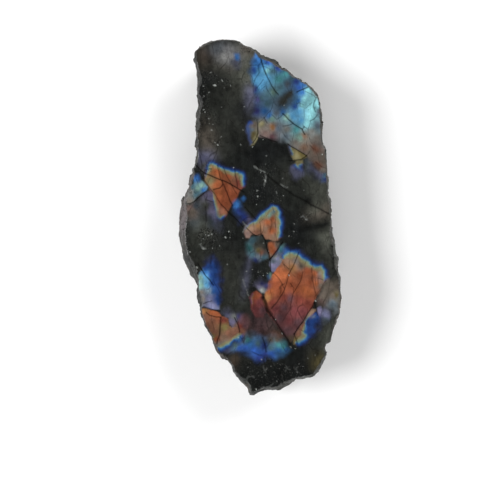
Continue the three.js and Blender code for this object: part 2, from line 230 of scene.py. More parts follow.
# Patches of flash in the stone. The outline's points are pixels of the photograph, each with the width
# over which the colour comes up there. The fill's points are pixels with a colour and its brightness.
# A warm edge runs through blue, cyan and straw, a cool one through blue, and a plain one only fades in.
FLASHES = {
    "top field": ("plain",
        [(256, 53, 2), (260, 54, 1), (267, 58, 1), (277, 64, 1), (285, 69, 1), (299, 77, 1), (309, 84, 1),
         (316, 91, 1), (320, 98, 1), (321, 112, 1), (322.5, 130, 1), (323.5, 142, 1), (327, 152, 1),
         (328, 168, 1), (328, 173, 2.5), (320, 171, 3), (314, 166, 3), (310, 160, 3), (306, 156, 1.5),
         (297, 151, 1.5), (290, 146, 1.5), (284, 141, 3), (277, 140, 2.5), (270, 138.5, 2), (264, 137, 1.2),
         (259, 136, 1.5), (256, 129, 3), (254.5, 122, 3.5), (254.5, 113, 3.5), (256, 104, 3.5), (255, 94, 4),
         (252.5, 84, 2.5), (251.5, 74, 3), (252.5, 62, 3)],
        [(255, 61, "azure", 0.66), (254, 70, "royal", 0.85), (259, 72, "sky", 0.8), (262, 75, "sky", 0.92),
         (255, 80, "sky", 0.78), (261, 86, "sky", 0.88), (255, 89, "deep", 0.9), (259, 65, "azure", 0.85),
         (267, 71, "cyan", 0.92), (267, 77, "sky", 0.95), (268, 62, "royal", 1), (277, 68, "deep", 1.15),
         (258, 58, "azure", 0.95), (264, 68, "sky", 1), (272, 72, "steel", 0.8), (285, 74, "teal", 0.92),
         (278, 79, "teal", 0.88), (292, 78, "steel", 0.7), (299, 88, "royal", 1.1), (280, 87, "steel", 0.8),
         (288, 84, "slate", 0.9), (273, 92, "seafoam", 0.58), (267, 94, "steel", 0.78),
         (268, 104, "steel", 0.66), (264, 111, "azure", 0.62), (258.5, 99, "violet", 0.8),
         (262, 98, "steel", 0.7), (256, 110, "indigo", 1.1), (269, 116, "azure", 0.74), (296, 82, "deep", 1),
         (303, 83, "azure", 0.85), (301, 93, "azure", 0.95), (307, 91, "cyan", 0.98),
         (305, 99, "cyan", 1.04), (312, 100, "cyan", 1.04), (312, 109, "cyan", 1.08),
         (317, 93, "palegrey", 0.98), (317, 104, "cyan", 0.98), (319, 111, "slate", 1.15),
         (318, 125, "slate", 1), (298, 101, "azure", 0.75), (295, 106, "royal", 0.85),
         (299, 112, "sky", 0.9), (303, 106, "cyan", 0.9), (293, 116, "sky", 0.85), (301, 121, "sky", 0.85),
         (310, 117, "cyan", 1.02), (286, 117, "seafoam", 0.92), (276, 114, "slate", 1.15),
         (283, 113, "azure", 0.8), (307, 124, "cyan", 0.98), (262, 124, "straw", 0.8),
         (267, 128, "warmgrey", 0.9), (272.5, 127, "amber", 0.68), (272, 119, "seafoam", 0.75),
         (266, 133, "pinkgrey", 0.95), (272, 137, "plum", 1.1), (278, 128, "slate", 1.15),
         (286, 129, "grey", 0.8), (287, 137, "bluegrey", 0.75), (296, 130, "teal", 1),
         (300, 137, "seafoam", 0.75), (296, 143, "warmgrey", 0.76), (304, 136, "tan", 0.92),
         (304, 147, "tan", 0.8), (311, 132, "grey", 0.88), (317, 140, "warmgrey", 0.8),
         (310, 152, "taupe", 0.88), (315, 149, "redbrown", 0.9), (320, 156, "taupe", 0.82),
         (318, 165, "redbrown", 0.82), (325, 160, "taupe", 0.82), (323, 171, "warmgrey", 0.75)]),
    "dark hole": ("plain",
        [(273, 100, 5), (278, 96.5, 4), (285, 93, 4), (290, 89, 5), (294, 90, 5), (294, 96, 5),
         (291, 103, 5), (286, 108, 4.5), (280, 110, 4.5), (275, 106, 5)],
        [(284, 100, "body", 1.15), (283, 105, "dimgrey", 0.75), (290, 94, "dimgrey", 0.7),
         (277, 102, "slate", 0.75)]),
    "left tip": ("cool",
        [(247.5, 126.5, 2.5), (251, 123, 3), (256, 122, 1.5), (258, 127, 0.8), (259.5, 134, 0.8),
         (257, 140, 0.8), (254, 144.5, 1), (251, 143.5, 2.5), (248.5, 139, 2.5), (247, 132, 2.5)],
        [(254, 126, "taupe", 0.85), (253, 134, "olive", 0.9), (257, 139, "straw", 0.75),
         (251, 131, "slate", 1.05)]),
    "triangle": ("warm",
        [(290.5, 147, 2.5), (298, 150.5, 0.8), (306, 155.4, 0.8), (301, 159.5, 0.8), (293, 160.3, 0.8),
         (291.5, 154, 2.5)],
        [(300, 154, "olive", 1.1), (296, 156, "straw", 0.75)]),
    "triangle's tip": ("warm",
        [(296.5, 161, 1), (302, 160.5, 1), (302, 165, 2.5), (300, 168.5, 3), (297.5, 168.5, 3),
         (295.5, 166, 3)],
        [(299, 163, "straw", 0.62), (298, 166, "olive", 1)]),
    "glow under the tip": ("plain",
        [(293, 168, 3), (300, 168.5, 3), (300, 173, 3.5), (296, 176, 3.5), (292, 173, 3.5)],
        [(297, 171, "lilac", 0.62)]),
    "glow at the right": ("plain",
        [(311, 164, 2.5), (314, 169, 2.5), (320, 172.5, 2.5), (328.5, 173.5, 1), (329, 180, 2.5),
         (324, 179.5, 3.5), (316, 175, 4), (310, 170, 4)],
        [(314, 170, "lilac", 0.58), (320, 174.5, "lilac", 0.62), (327, 175.5, "steel", 0.8),
         (327, 179, "deep", 0.9)]),
    "left haze": ("plain",
        [(199, 154, 3), (206, 157, 4), (211, 160, 3), (210, 166, 3), (207, 172, 3), (203, 170, 3),
         (200, 163, 3)],
        [(204, 159, "lilac", 0.62), (207, 167, "grey", 0.58)]),
    "left orange": ("warm",
        [(209.5, 164, 3), (213, 163, 3.5), (219, 165, 3.5), (225, 168, 3.5), (231, 170.5, 3.5),
         (237, 171.5, 3.5), (242, 174.5, 3.5), (245, 179.5, 3.5), (244, 185.5, 2.5), (241, 190, 1.3),
         (238, 195.5, 1.5), (235, 201, 1.8), (231, 205.5, 1.3), (227.5, 210, 1.5), (224.5, 215, 2.3),
         (220.5, 219, 3.2), (217, 215, 3), (214.5, 207, 2.8), (213, 199, 2.6), (212, 190, 2.2),
         (208.5, 184.5, 2), (205.5, 179.5, 2), (207, 175, 2.5), (207.5, 169, 2.8)],
        [(213, 168, "amber", 0.75), (216, 172, "orange", 0.8), (222, 174, "orange", 0.72),
         (228, 177, "rust", 0.88), (217, 184, "orange", 0.88), (211, 181, "straw", 0.72),
         (236, 178, "redbrown", 1.05), (241, 182, "brick", 0.88), (225, 186, "rust", 0.85),
         (228, 194, "rust", 0.84), (219, 194, "orange", 0.78), (234, 196, "rust", 0.75),
         (224, 203, "rust", 0.88), (220, 211, "redbrown", 1.05), (232, 173, "straw", 0.72)]),
    "left lavender": ("plain",
        [(205, 193, 4), (211, 191.5, 1.5), (213.5, 200, 1.5), (215, 208, 2), (218, 216, 3), (221, 222, 3),
         (217, 228, 5), (211, 226, 6), (206, 214, 5), (202, 203, 5)],
        [(211, 198, "lavender", 0.58), (213, 208, "lavender", 0.6), (216, 218, "lilac", 0.58),
         (206, 206, "dimgrey", 1.05), (211, 222, "slate", 0.66)]),
    "left cyan": ("cool",
        [(194, 176.5, 2.5), (197.5, 175.5, 2.5), (199, 181, 2.5), (204, 182.5, 1.5), (208, 187, 1),
         (206.5, 190.5, 1.5), (200, 193, 2), (196.5, 197, 2), (193, 201.5, 1.5), (187.5, 203.5, 1),
         (186, 200, 1), (187, 193, 1), (189.5, 187, 1.5), (193.5, 184, 1.5)],
        [(196, 179, "azure", 0.88), (202, 186, "seafoam", 0.85), (198, 189, "seafoam", 0.84),
         (204, 190, "azure", 0.8), (196.5, 194, "steel", 0.85), (190.5, 193, "grey", 0.98),
         (190, 200, "warmgrey", 0.92), (192, 187, "steel", 0.95)]),
    "left pink": ("plain",
        [(186, 205, 1), (190, 204.5, 1), (196, 201, 1.5), (198, 207, 4), (196, 215, 4), (189, 218, 4),
         (185, 213, 1.5)],
        [(189, 207, "pinkgrey", 0.82), (192, 211, "taupe", 0.82), (197, 206, "slate", 0.8)]),
    "blue beside the orange": ("plain",
        [(234, 204, 2.5), (237.5, 201.5, 2.5), (239.5, 205, 2.5), (241, 210, 3.5), (246, 215, 3),
         (253, 219.5, 1.5), (250, 222.5, 3), (244, 221, 3.5), (240, 221, 4), (236.5, 215, 4),
         (235, 209, 2.5)],
        [(237, 205, "azure", 0.92), (239, 210, "deep", 0.9), (244, 218, "deep", 0.85),
         (250, 220, "lavender", 0.5)]),
    "blue spark": ("plain",
        [(241.5, 199, 2.2), (243.5, 197, 2), (245, 199, 2.2), (243.5, 201.5, 2.2)],
        [(243, 199.5, "azure", 0.8)]),
    "middle fan": ("warm",
        [(273, 206, 3), (277, 206.5, 3), (279.5, 211, 3), (280, 218, 3.2), (280.8, 226, 3.2),
         (280.5, 234, 3.2), (278.5, 239.5, 2), (272, 240, 1.5), (266, 238.5, 1.5), (262.5, 233.5, 1),
         (258, 235.5, 1), (253.5, 234.5, 1), (250, 238, 1.5), (245.5, 237.5, 1.5), (244.5, 233.5, 1.8),
         (247, 227.5, 2.5), (250, 224, 2.5), (257, 220.5, 2.8), (262, 215, 3.2), (267, 210, 3.2)],
        [(274, 211, "steel", 1), (269, 215, "seafoam", 0.8), (277, 214, "olive", 1),
         (268, 222, "orange", 0.92), (272, 219, "orange", 0.8), (266, 229, "tan", 0.85),
         (272, 231, "orange", 0.8), (274, 236, "tan", 0.85), (277, 226, "tan", 0.8), (252, 228, "tan", 1.08),
         (257, 226, "amber", 0.78), (256, 232, "redbrown", 1), (248, 234, "pinkgrey", 1.05),
         (254, 223, "warmgrey", 0.85)]),
    "ring": ("plain",
        [(247, 243, 2.5), (251, 238.5, 1.5), (258, 236, 1), (262.5, 236, 1), (265, 242, 1), (267, 250, 1),
         (269, 258, 1), (264, 260, 2), (256, 260.5, 2.5), (250, 257, 2.5), (247, 251, 2.5)],
        [(252, 241, "steel", 0.66), (257, 245, "dimgrey", 1), (262, 241, "body", 1),
         (249, 248, "teal", 0.62), (252, 254, "steel", 0.85), (257, 256, "bluegrey", 0.82),
         (264, 257, "steel", 0.7), (258, 250, "olive", 0.85), (261, 252, "redbrown", 0.95),
         (265, 247, "body", 1.1), (255, 260, "deep", 0.85)]),
    "small orange": ("plain",
        [(269, 243.5, 1.5), (274, 241.5, 1.5), (279.5, 242.5, 1), (277.5, 248, 0.8), (273.5, 254, 0.8),
         (270.5, 258, 1), (269, 253, 1.5), (268.3, 247, 1.5)],
        [(272, 246, "orange", 0.84), (273, 251, "orange", 0.76), (278, 244, "taupe", 0.85),
         (270.5, 256, "tan", 0.85)]),
    "lavender wedge": ("plain",
        [(280.5, 245, 1.5), (284, 246, 2.5), (286, 252, 2.5), (285.5, 258, 2.5), (282, 264, 2),
         (277, 269, 1.5), (272.5, 272, 1.5), (270.5, 270, 1), (270.3, 262, 1), (272, 258.5, 1),
         (276, 252.5, 1), (279, 247.5, 1)],
        [(277, 258, "lilac", 1.02), (274, 265, "lavender", 0.85), (281, 258, "palegrey", 0.82),
         (281.5, 249, "teal", 0.85), (272.5, 270, "lilac", 0.85), (275, 256, "palegrey", 0.75),
         (273, 261, "slate", 1.15), (283, 254, "palegrey", 0.9)]),
    "great orange": ("warm",
        [(283, 254, 5.5), (290, 252, 5.5), (298, 252.5, 5), (303, 256, 4.5), (308, 261, 4), (315, 265, 4),
         (321, 266, 4), (325, 271, 4), (326.5, 276.5, 3), (323.5, 283, 2), (320, 290, 1.5), (316.5, 296, 1),
         (315, 300, 1), (312, 307, 0.8), (306, 316, 0.8), (300, 325.5, 0.8), (294.5, 333.5, 0.8),
         (293.5, 339, 1.5), (290, 343.5, 1), (286, 337.5, 0.8), (280.5, 330.5, 0.8), (275, 321, 1),
         (269, 313, 1), (266, 307, 1), (263.5, 300, 1), (265.5, 293, 1.4), (268.5, 285, 1.4),
         (271.5, 277, 1.6), (275.5, 271, 1.3), (280, 266, 1.4), (283, 260, 1.8)],
        [(289, 260, "tan", 0.95), (296, 262, "warmgrey", 0.85), (277, 273, "orange", 0.95),
         (284, 275, "orange", 0.98), (293, 267, "amber", 0.75), (302, 265, "taupe", 0.78),
         (308, 271, "rust", 0.88), (315, 274, "orange", 0.86), (321, 273, "warmgrey", 0.95),
         (322, 277, "pinkgrey", 0.98), (300, 275, "rust", 0.84), (310, 283, "rust", 0.88),
         (317, 284, "orange", 0.82), (321, 285, "taupe", 0.95), (276, 284, "rust", 1),
         (270, 291, "orange", 0.86), (281, 291, "rust", 0.94), (290, 284, "rust", 0.86),
         (297, 290, "rust", 0.88), (305, 290, "orange", 0.84), (310, 293, "orange", 0.84),
         (267, 297, "amber", 0.85), (272, 302, "brick", 0.95), (284, 298, "brick", 0.86),
         (290, 299, "plum", 1.15), (300, 300, "brick", 0.94), (308, 303, "brick", 0.9),
         (276, 309, "maroon", 0.84), (284, 308, "plum", 1.1), (295, 311, "maroon", 1.02),
         (303, 312, "maroon", 1.02), (280, 318, "plum", 1), (289, 320, "maroon", 0.92),
         (297, 322, "plum", 1.05), (288, 331, "plum", 1.1), (290, 339, "brown", 0.95)]),
    "cyan by the orange": ("cool",
        [(268.5, 275, 2.5), (270.5, 272.5, 2), (271.5, 275, 2), (270, 278.5, 2.5)],
        [(270, 275, "seafoam", 0.6)]),
    "maroon lobe": ("warm",
        [(251.5, 303, 2.2), (251, 297, 2.2), (253.5, 293, 2.2), (257, 292, 1.5), (260.5, 294, 0.8),
         (262.5, 298, 0.8), (265, 304, 0.8), (267.5, 311, 1), (263, 317, 1.9), (257, 317, 1.9),
         (252.5, 311, 1.9), (251, 307, 1.9)],
        [(256, 297, "rust", 0.85), (254, 301, "brick", 0.85), (259, 303, "maroon", 0.92),
         (256, 309, "maroon", 0.78), (263, 310, "plum", 1)]),
    "pale by the lobe": ("plain",
        [(256.5, 285, 3), (262, 283, 5), (268, 284, 3.5), (267, 288, 2.5), (264.5, 293, 1), (261.5, 293, 1),
         (258.5, 289.5, 1.3)],
        [(262.5, 290, "palegrey", 0.95), (259.5, 287, "lavender", 0.7), (266, 286, "violet", 0.66),
         (262, 284, "indigo", 1)]),
    "right lilac": ("plain",
        [(322, 312.5, 3), (325, 309, 3), (329, 311, 2.5), (330, 317, 2), (329, 321, 2), (325, 322.5, 3),
         (321, 319, 3)],
        [(326, 314, "lilac", 0.9), (326, 320, "slate", 0.9)]),
    "right pink": ("plain",
        [(317.5, 308, 1.2), (320, 307, 2), (322, 311, 2), (320.5, 317, 2), (318.5, 316.5, 1.5),
         (317.5, 312, 1.2)],
        [(319.5, 311, "lavender", 0.88)]),
    "right taupe": ("plain",
        [(327, 280, 3), (332, 282, 5), (337, 281, 4), (341, 285, 2), (342, 295, 2), (341.5, 304, 2),
         (339, 311, 3), (334, 312, 4), (329, 308, 4), (324, 306, 4), (319, 304, 3), (317, 300, 1.5),
         (318.5, 296, 2), (322, 291, 3), (325, 285, 2.5)],
        [(330, 288, "taupe", 0.9), (324, 297, "taupe", 0.9), (333, 296, "taupe", 0.96),
         (340, 298, "grey", 0.9), (333, 304, "bluegrey", 0.85), (321, 302, "pinkgrey", 0.72),
         (338, 286, "taupe", 0.66), (337, 295, "olive", 0.95)]),
    "blue by the tail": ("cool",
        [(307.5, 321, 3), (311, 316, 3), (316, 313.5, 3.5), (317, 318, 5), (315, 325, 6), (311.5, 330, 6),
         (308.5, 329, 4)],
        [(314, 315.5, "bluegrey", 0.95), (310, 322, "royal", 0.85), (313, 322, "deep", 0.9),
         (311, 328, "deep", 0.72)]),
    "orange tail": ("warm",
        [(312, 308, 0.8), (315.5, 309.5, 2), (312.5, 313, 2), (309, 318, 2.5), (306, 323.5, 3),
         (306, 330, 3.5), (306.5, 336, 4), (303, 340.5, 4), (298, 343.5, 4), (293.5, 344.5, 1.8),
         (293.8, 338, 0.8), (294.8, 333.8, 0.8), (300, 325.8, 0.8), (306, 316.3, 0.8)],
        [(312, 310.5, "tan", 0.95), (306, 319, "pinkgrey", 0.92), (302, 328, "redbrown", 0.98),
         (298, 334, "redbrown", 0.98), (303, 335, "taupe", 0.85), (297, 341, "olive", 1.05),
         (301, 339, "tan", 0.7)]),
    "lower left blue": ("cool",
        [(213, 261, 6), (215.5, 270, 5.5), (216, 280, 5), (216.5, 290, 4.5), (217.5, 300, 3.5),
         (219, 309.5, 1.8), (215, 309.5, 0.8), (209, 308, 0.8), (203.5, 306.3, 0.8), (201, 305, 1),
         (199.8, 300, 1), (198.8, 292, 1), (198.6, 283, 1), (198.2, 277, 1), (199.5, 271.5, 1),
         (203, 270, 2), (206.5, 265.5, 4)],
        [(212, 266, "deep", 1.1), (205, 271, "azure", 0.85), (211, 275, "royal", 1.1),
         (205, 277, "sky", 0.98), (200.5, 278, "seafoam", 1.02), (201, 285, "seafoam", 0.95),
         (206, 284, "sky", 0.98), (212, 283, "royal", 1.05), (202, 292, "warmgrey", 0.9),
         (208, 291, "bluegrey", 0.98), (213, 291, "azure", 0.72), (203, 299, "warmgrey", 0.88),
         (209, 298, "lilac", 0.92), (214, 300, "lilac", 0.88), (212, 305, "lilac", 0.98)]),
    "bottom blue": ("plain",
        [(221, 350, 3), (227, 347, 3), (231, 344.5, 3), (237, 340.5, 3.5), (242, 336.5, 4), (247, 333, 4.5),
         (253, 334.5, 4.5), (260, 337, 4), (265, 338, 3), (270, 337, 3.5), (276, 336.5, 4), (283, 340, 3.5),
         (287, 345, 2), (288.5, 350, 3), (284, 352.5, 4.5), (279, 354, 4.5), (275, 357, 5),
         (270.5, 357, 4.5), (266, 355.5, 4), (262.5, 360, 4), (258, 360.5, 4), (254, 357, 4),
         (250, 353, 3.5), (244, 351, 3.5), (236, 349.5, 4), (229, 351, 3)],
        [(226, 349.5, "lilac", 0.6), (236, 344, "seafoam", 0.66), (242, 339, "bluegrey", 0.72),
         (250, 335.5, "slate", 0.8), (247, 340, "teal", 0.8), (250, 344.5, "azure", 0.82),
         (240, 347, "royal", 1.05), (246, 348, "royal", 1.15), (258, 344, "steel", 0.66),
         (254, 350, "royal", 1.1), (259, 352, "royal", 0.85), (260, 358, "deep", 1.15),
         (264, 346, "deep", 0.9), (270.5, 340, "taupe", 0.75), (278, 340, "taupe", 0.8),
         (278.5, 344.5, "teal", 0.95), (284, 346, "teal", 0.85), (287, 350, "azure", 0.6),
         (270.5, 347, "steel", 0.85), (278, 351, "azure", 0.78), (271, 354, "royal", 1.02),
         (265, 355, "deep", 1)]),
    "lower left orange": ("warm",
        [(200.5, 309, 1), (206, 308.5, 0.8), (213, 310.8, 0.8), (218.5, 313, 0.8), (221.5, 317, 1.2),
         (225, 317, 1.2), (228, 320, 1), (228.6, 326, 0.8), (231.5, 328.3, 0.8), (235.5, 326, 0.8),
         (237, 322, 1), (239.5, 330, 1.2), (242, 334, 2.5), (239.5, 338.5, 3.5), (234, 341.5, 3.5),
         (227.5, 345.5, 4), (219.5, 350, 4), (214, 345, 1), (211, 340, 1), (207, 331, 1), (203, 322, 1),
         (200.5, 316, 1), (199.8, 311, 1)],
        [(205, 311, "amber", 0.8), (212, 313, "orange", 0.88), (217, 315, "orange", 0.82),
         (205, 318, "redbrown", 1.02), (212, 320, "redbrown", 0.95), (208, 326, "redbrown", 0.92),
         (214, 331, "redbrown", 0.95), (216, 339, "rust", 0.72), (212, 336, "olive", 0.95),
         (223, 321, "brick", 0.8), (224, 328, "olive", 1.05), (228, 333, "redbrown", 1.05),
         (224, 338, "tan", 0.75), (235, 334, "redbrown", 1), (239, 332, "redbrown", 0.98),
         (225, 343, "warmgrey", 0.8), (219, 345, "grey", 0.78), (238, 337, "taupe", 0.85)]),
    "pink by the island": ("plain",
        [(236.5, 318, 1.2), (241, 316, 2.5), (246.5, 318, 3.5), (248.5, 326, 4), (246, 332, 3.5),
         (241, 335, 2.5), (239, 329, 1), (237.5, 323, 1)],
        [(240, 326, "brick", 0.85), (241, 320, "plum", 1.35), (245, 325, "plum", 1.2),
         (242, 331, "redbrown", 0.9)]),
    "lavender island": ("plain",
        [(223.5, 312.5, 3), (229, 311.5, 3), (234, 314, 2.5), (240, 314.5, 3.5), (239.5, 319, 3.5),
         (236.5, 321.5, 1.6), (236, 326.5, 1.2), (232, 328, 1), (229.6, 324, 1), (228.6, 318, 1.2),
         (225.5, 316.5, 1.5)],
        [(232, 322, "lavender", 0.76), (227, 314, "lilac", 0.55), (238, 317, "violet", 0.55),
         (233.5, 317, "palegrey", 0.6), (235, 325, "pinkgrey", 0.7)]),
    "blue spot by the haze": ("plain",
        [(235.5, 54.5, 3), (239, 54.5, 3), (240, 58, 3), (238.5, 62, 3), (235.5, 66, 4), (233.5, 62, 4),
         (235.5, 58.5, 2)],
        [(237.5, 57, "azure", 0.7), (235.5, 63, "lilac", 0.5)]),
}

# Dark cracks in the face: half width in pixels, darkness, and the pixels it runs through
CRACKS = [
    (1.1, 0.95, [(259, 52), (261, 60), (263, 66), (266, 74)]),
    (0.9, 0.8, [(266, 74), (269, 80), (272, 86), (275, 91), (278, 94.5)]),
    (0.6, 0.5, [(263, 66), (267, 67.5), (270, 69.5)]),
    (0.6, 0.5, [(262, 60), (258, 66), (259, 73), (255, 79), (253, 86)]),
    (0.6, 0.5, [(263, 80), (260, 84), (257, 88)]),
    (0.6, 0.45, [(276, 71), (277, 78)]),
    (1.0, 0.9, [(309.5, 86.5), (304, 89), (300, 90.5), (297, 92)]),
    (0.6, 0.5, [(305, 91), (310, 93.5), (314, 95.5), (316, 98)]),
    (0.8, 0.65, [(319.5, 96), (316, 98), (314.5, 101), (313.5, 106), (315.5, 112)]),
    (0.6, 0.4, [(312, 102.5), (309, 105), (306, 108)]),
    (0.6, 0.4, [(299, 103), (304, 105)]),
    (1.0, 0.85, [(283, 114), (288, 119), (293, 123.5), (298, 126.5), (302, 129), (305, 134.5)]),
    (0.9, 0.7, [(302, 129), (304.5, 127)]),
    (0.7, 0.6, [(283, 126), (290, 125), (293, 123.5)]),
    (0.7, 0.65, [(310, 121), (314, 119), (317, 115)]),
    (0.6, 0.5, [(272, 115), (277, 119.5), (281, 117), (284, 113)]),
    (0.8, 0.8, [(257, 120), (258, 127), (258, 133), (255.5, 139), (253, 143)]),
    (0.7, 0.6, [(264, 117), (267, 123)]),
    (0.8, 0.85, [(260, 135.5), (265, 137.5), (271, 140.5), (277, 142)]),
    (0.9, 0.9, [(288, 144), (294, 148), (300, 151.5), (306.5, 155.8)]),
    (0.9, 0.9, [(306.5, 155.8), (301.5, 159.5), (296, 160.3), (290, 160.8)]),
    (0.6, 0.5, [(306.5, 155.8), (309.5, 152)]),
    (0.6, 0.5, [(310, 145), (314, 149)]),
    (0.6, 0.5, [(316, 162), (322, 167), (327, 168.5)]),
    (1.0, 0.9, [(197, 166), (202, 171.5), (208, 174.5), (216, 178), (222, 180), (229, 183.5), (234, 186),
                (239, 189), (243.5, 192)]),
    (0.7, 0.6, [(200, 155), (201.5, 163), (202, 168)]),
    (0.8, 0.65, [(217, 165), (219, 171), (220.5, 179)]),
    (0.9, 0.75, [(221.5, 180), (223, 184), (219.5, 188), (213.5, 189.5)]),
    (0.9, 0.75, [(222.5, 183), (225.5, 189), (228, 195), (230, 201), (232.5, 205.5)]),
    (0.7, 0.6, [(223, 167), (226, 174), (229, 180), (232, 186), (237, 194)]),
    (0.8, 0.7, [(235, 169), (235.5, 176), (236.8, 182), (237.5, 187)]),
    (0.7, 0.6, [(203, 178), (207, 184), (210.5, 189), (214, 193), (217.5, 199), (221, 205)]),
    (0.9, 0.8, [(221, 204.5), (225, 208), (228, 212), (236, 219), (243, 227)]),
    (0.9, 0.85, [(185, 204), (191, 203.5), (195, 200.5), (199, 197), (206, 191.5)]),
    (1.2, 0.6, [(205.5, 207), (206, 213), (206.5, 221)]),
    (1.4, 0.7, [(255, 164), (262, 172), (270, 178), (281, 186), (292, 194), (300, 198), (306, 201),
                (311, 205)]),
    (1.2, 0.75, [(311, 205), (320, 209), (327, 213), (334, 215)]),
    (0.8, 0.8, [(246, 227.5), (251, 232.5), (256, 235.8), (261, 234)]),
    (0.7, 0.6, [(260, 222), (260.5, 229), (261, 234)]),
    (0.8, 0.7, [(245, 207), (250, 213), (256, 219)]),
    (0.9, 0.85, [(262, 235), (264.5, 239), (266.5, 246), (268.5, 253), (270, 259), (270.3, 266),
                (270.6, 271)]),
    (1.0, 0.95, [(282.5, 242), (278, 249), (273, 255.5), (270, 259.5)]),
    (0.6, 0.45, [(271, 219), (272, 224), (270, 232)]),
    (0.6, 0.45, [(274.5, 222), (276, 227)]),
    (0.8, 0.75, [(298.5, 253), (295, 262), (291.5, 269), (289, 274.5), (287, 281), (284.5, 289), (281, 296),
                (277, 302), (272, 308)]),
    (0.7, 0.62, [(303, 272), (301, 280), (297, 287), (293, 293.5), (291.5, 300), (290.5, 308)]),
    (0.7, 0.6, [(284, 264), (289, 269)]),
    (0.7, 0.6, [(270.5, 271.5), (275, 274.5), (280, 280), (284, 288)]),
    (0.7, 0.5, [(290, 283), (294, 288), (293, 293.5)]),
    (0.7, 0.55, [(311.5, 268), (312.5, 280), (314, 287), (316, 294), (314, 299.5)]),
    (0.9, 0.95, [(314, 303), (312.5, 307), (308, 313), (303, 321.5), (298, 328), (294, 334)]),
    (0.7, 0.65, [(314.5, 301), (315.5, 307), (318, 315)]),
    (2.4, 0.9, [(263, 298), (265.5, 304), (268, 311), (271, 315)]),
    (1.7, 1.0, [(262, 297.5), (265, 303.5), (268, 310.5), (273, 317), (277, 323), (281, 330), (286, 337),
                (290, 344)]),
    (0.7, 0.5, [(298, 311), (302, 319)]),
    (0.6, 0.4, [(282, 322), (287, 314), (292, 306)]),
    (0.9, 0.85, [(198, 264), (202, 270), (205.5, 275.5), (210, 280.5), (213.5, 285)]),
    (0.7, 0.7, [(201, 306.5), (204, 303.5), (208, 302), (211.5, 301)]),
    (0.8, 0.8, [(203.5, 306.5), (208, 308), (214, 309.8), (219.5, 311)]),
    (0.9, 0.8, [(206.5, 312.5), (210, 315.5), (215, 316.5), (221, 317.5)]),
    (1.0, 0.85, [(221, 317.5), (220, 325), (219.5, 334), (218, 339), (216, 347)]),
    (0.9, 0.85, [(234.5, 318), (237, 323), (239, 328), (239.5, 332)]),
    (0.6, 0.45, [(212, 322), (214, 329)]),
    (1.1, 0.7, [(262.5, 338), (265, 345), (266.3, 352)]),
    (0.7, 0.5, [(270.5, 340), (268, 346)]),
    (0.8, 0.7, [(294, 334), (296, 339), (297, 343)]),
    (0.7, 0.5, [(318, 283), (318, 278), (323, 280)]),
    (0.7, 0.5, [(326, 280), (320, 290), (316, 296)]),
]
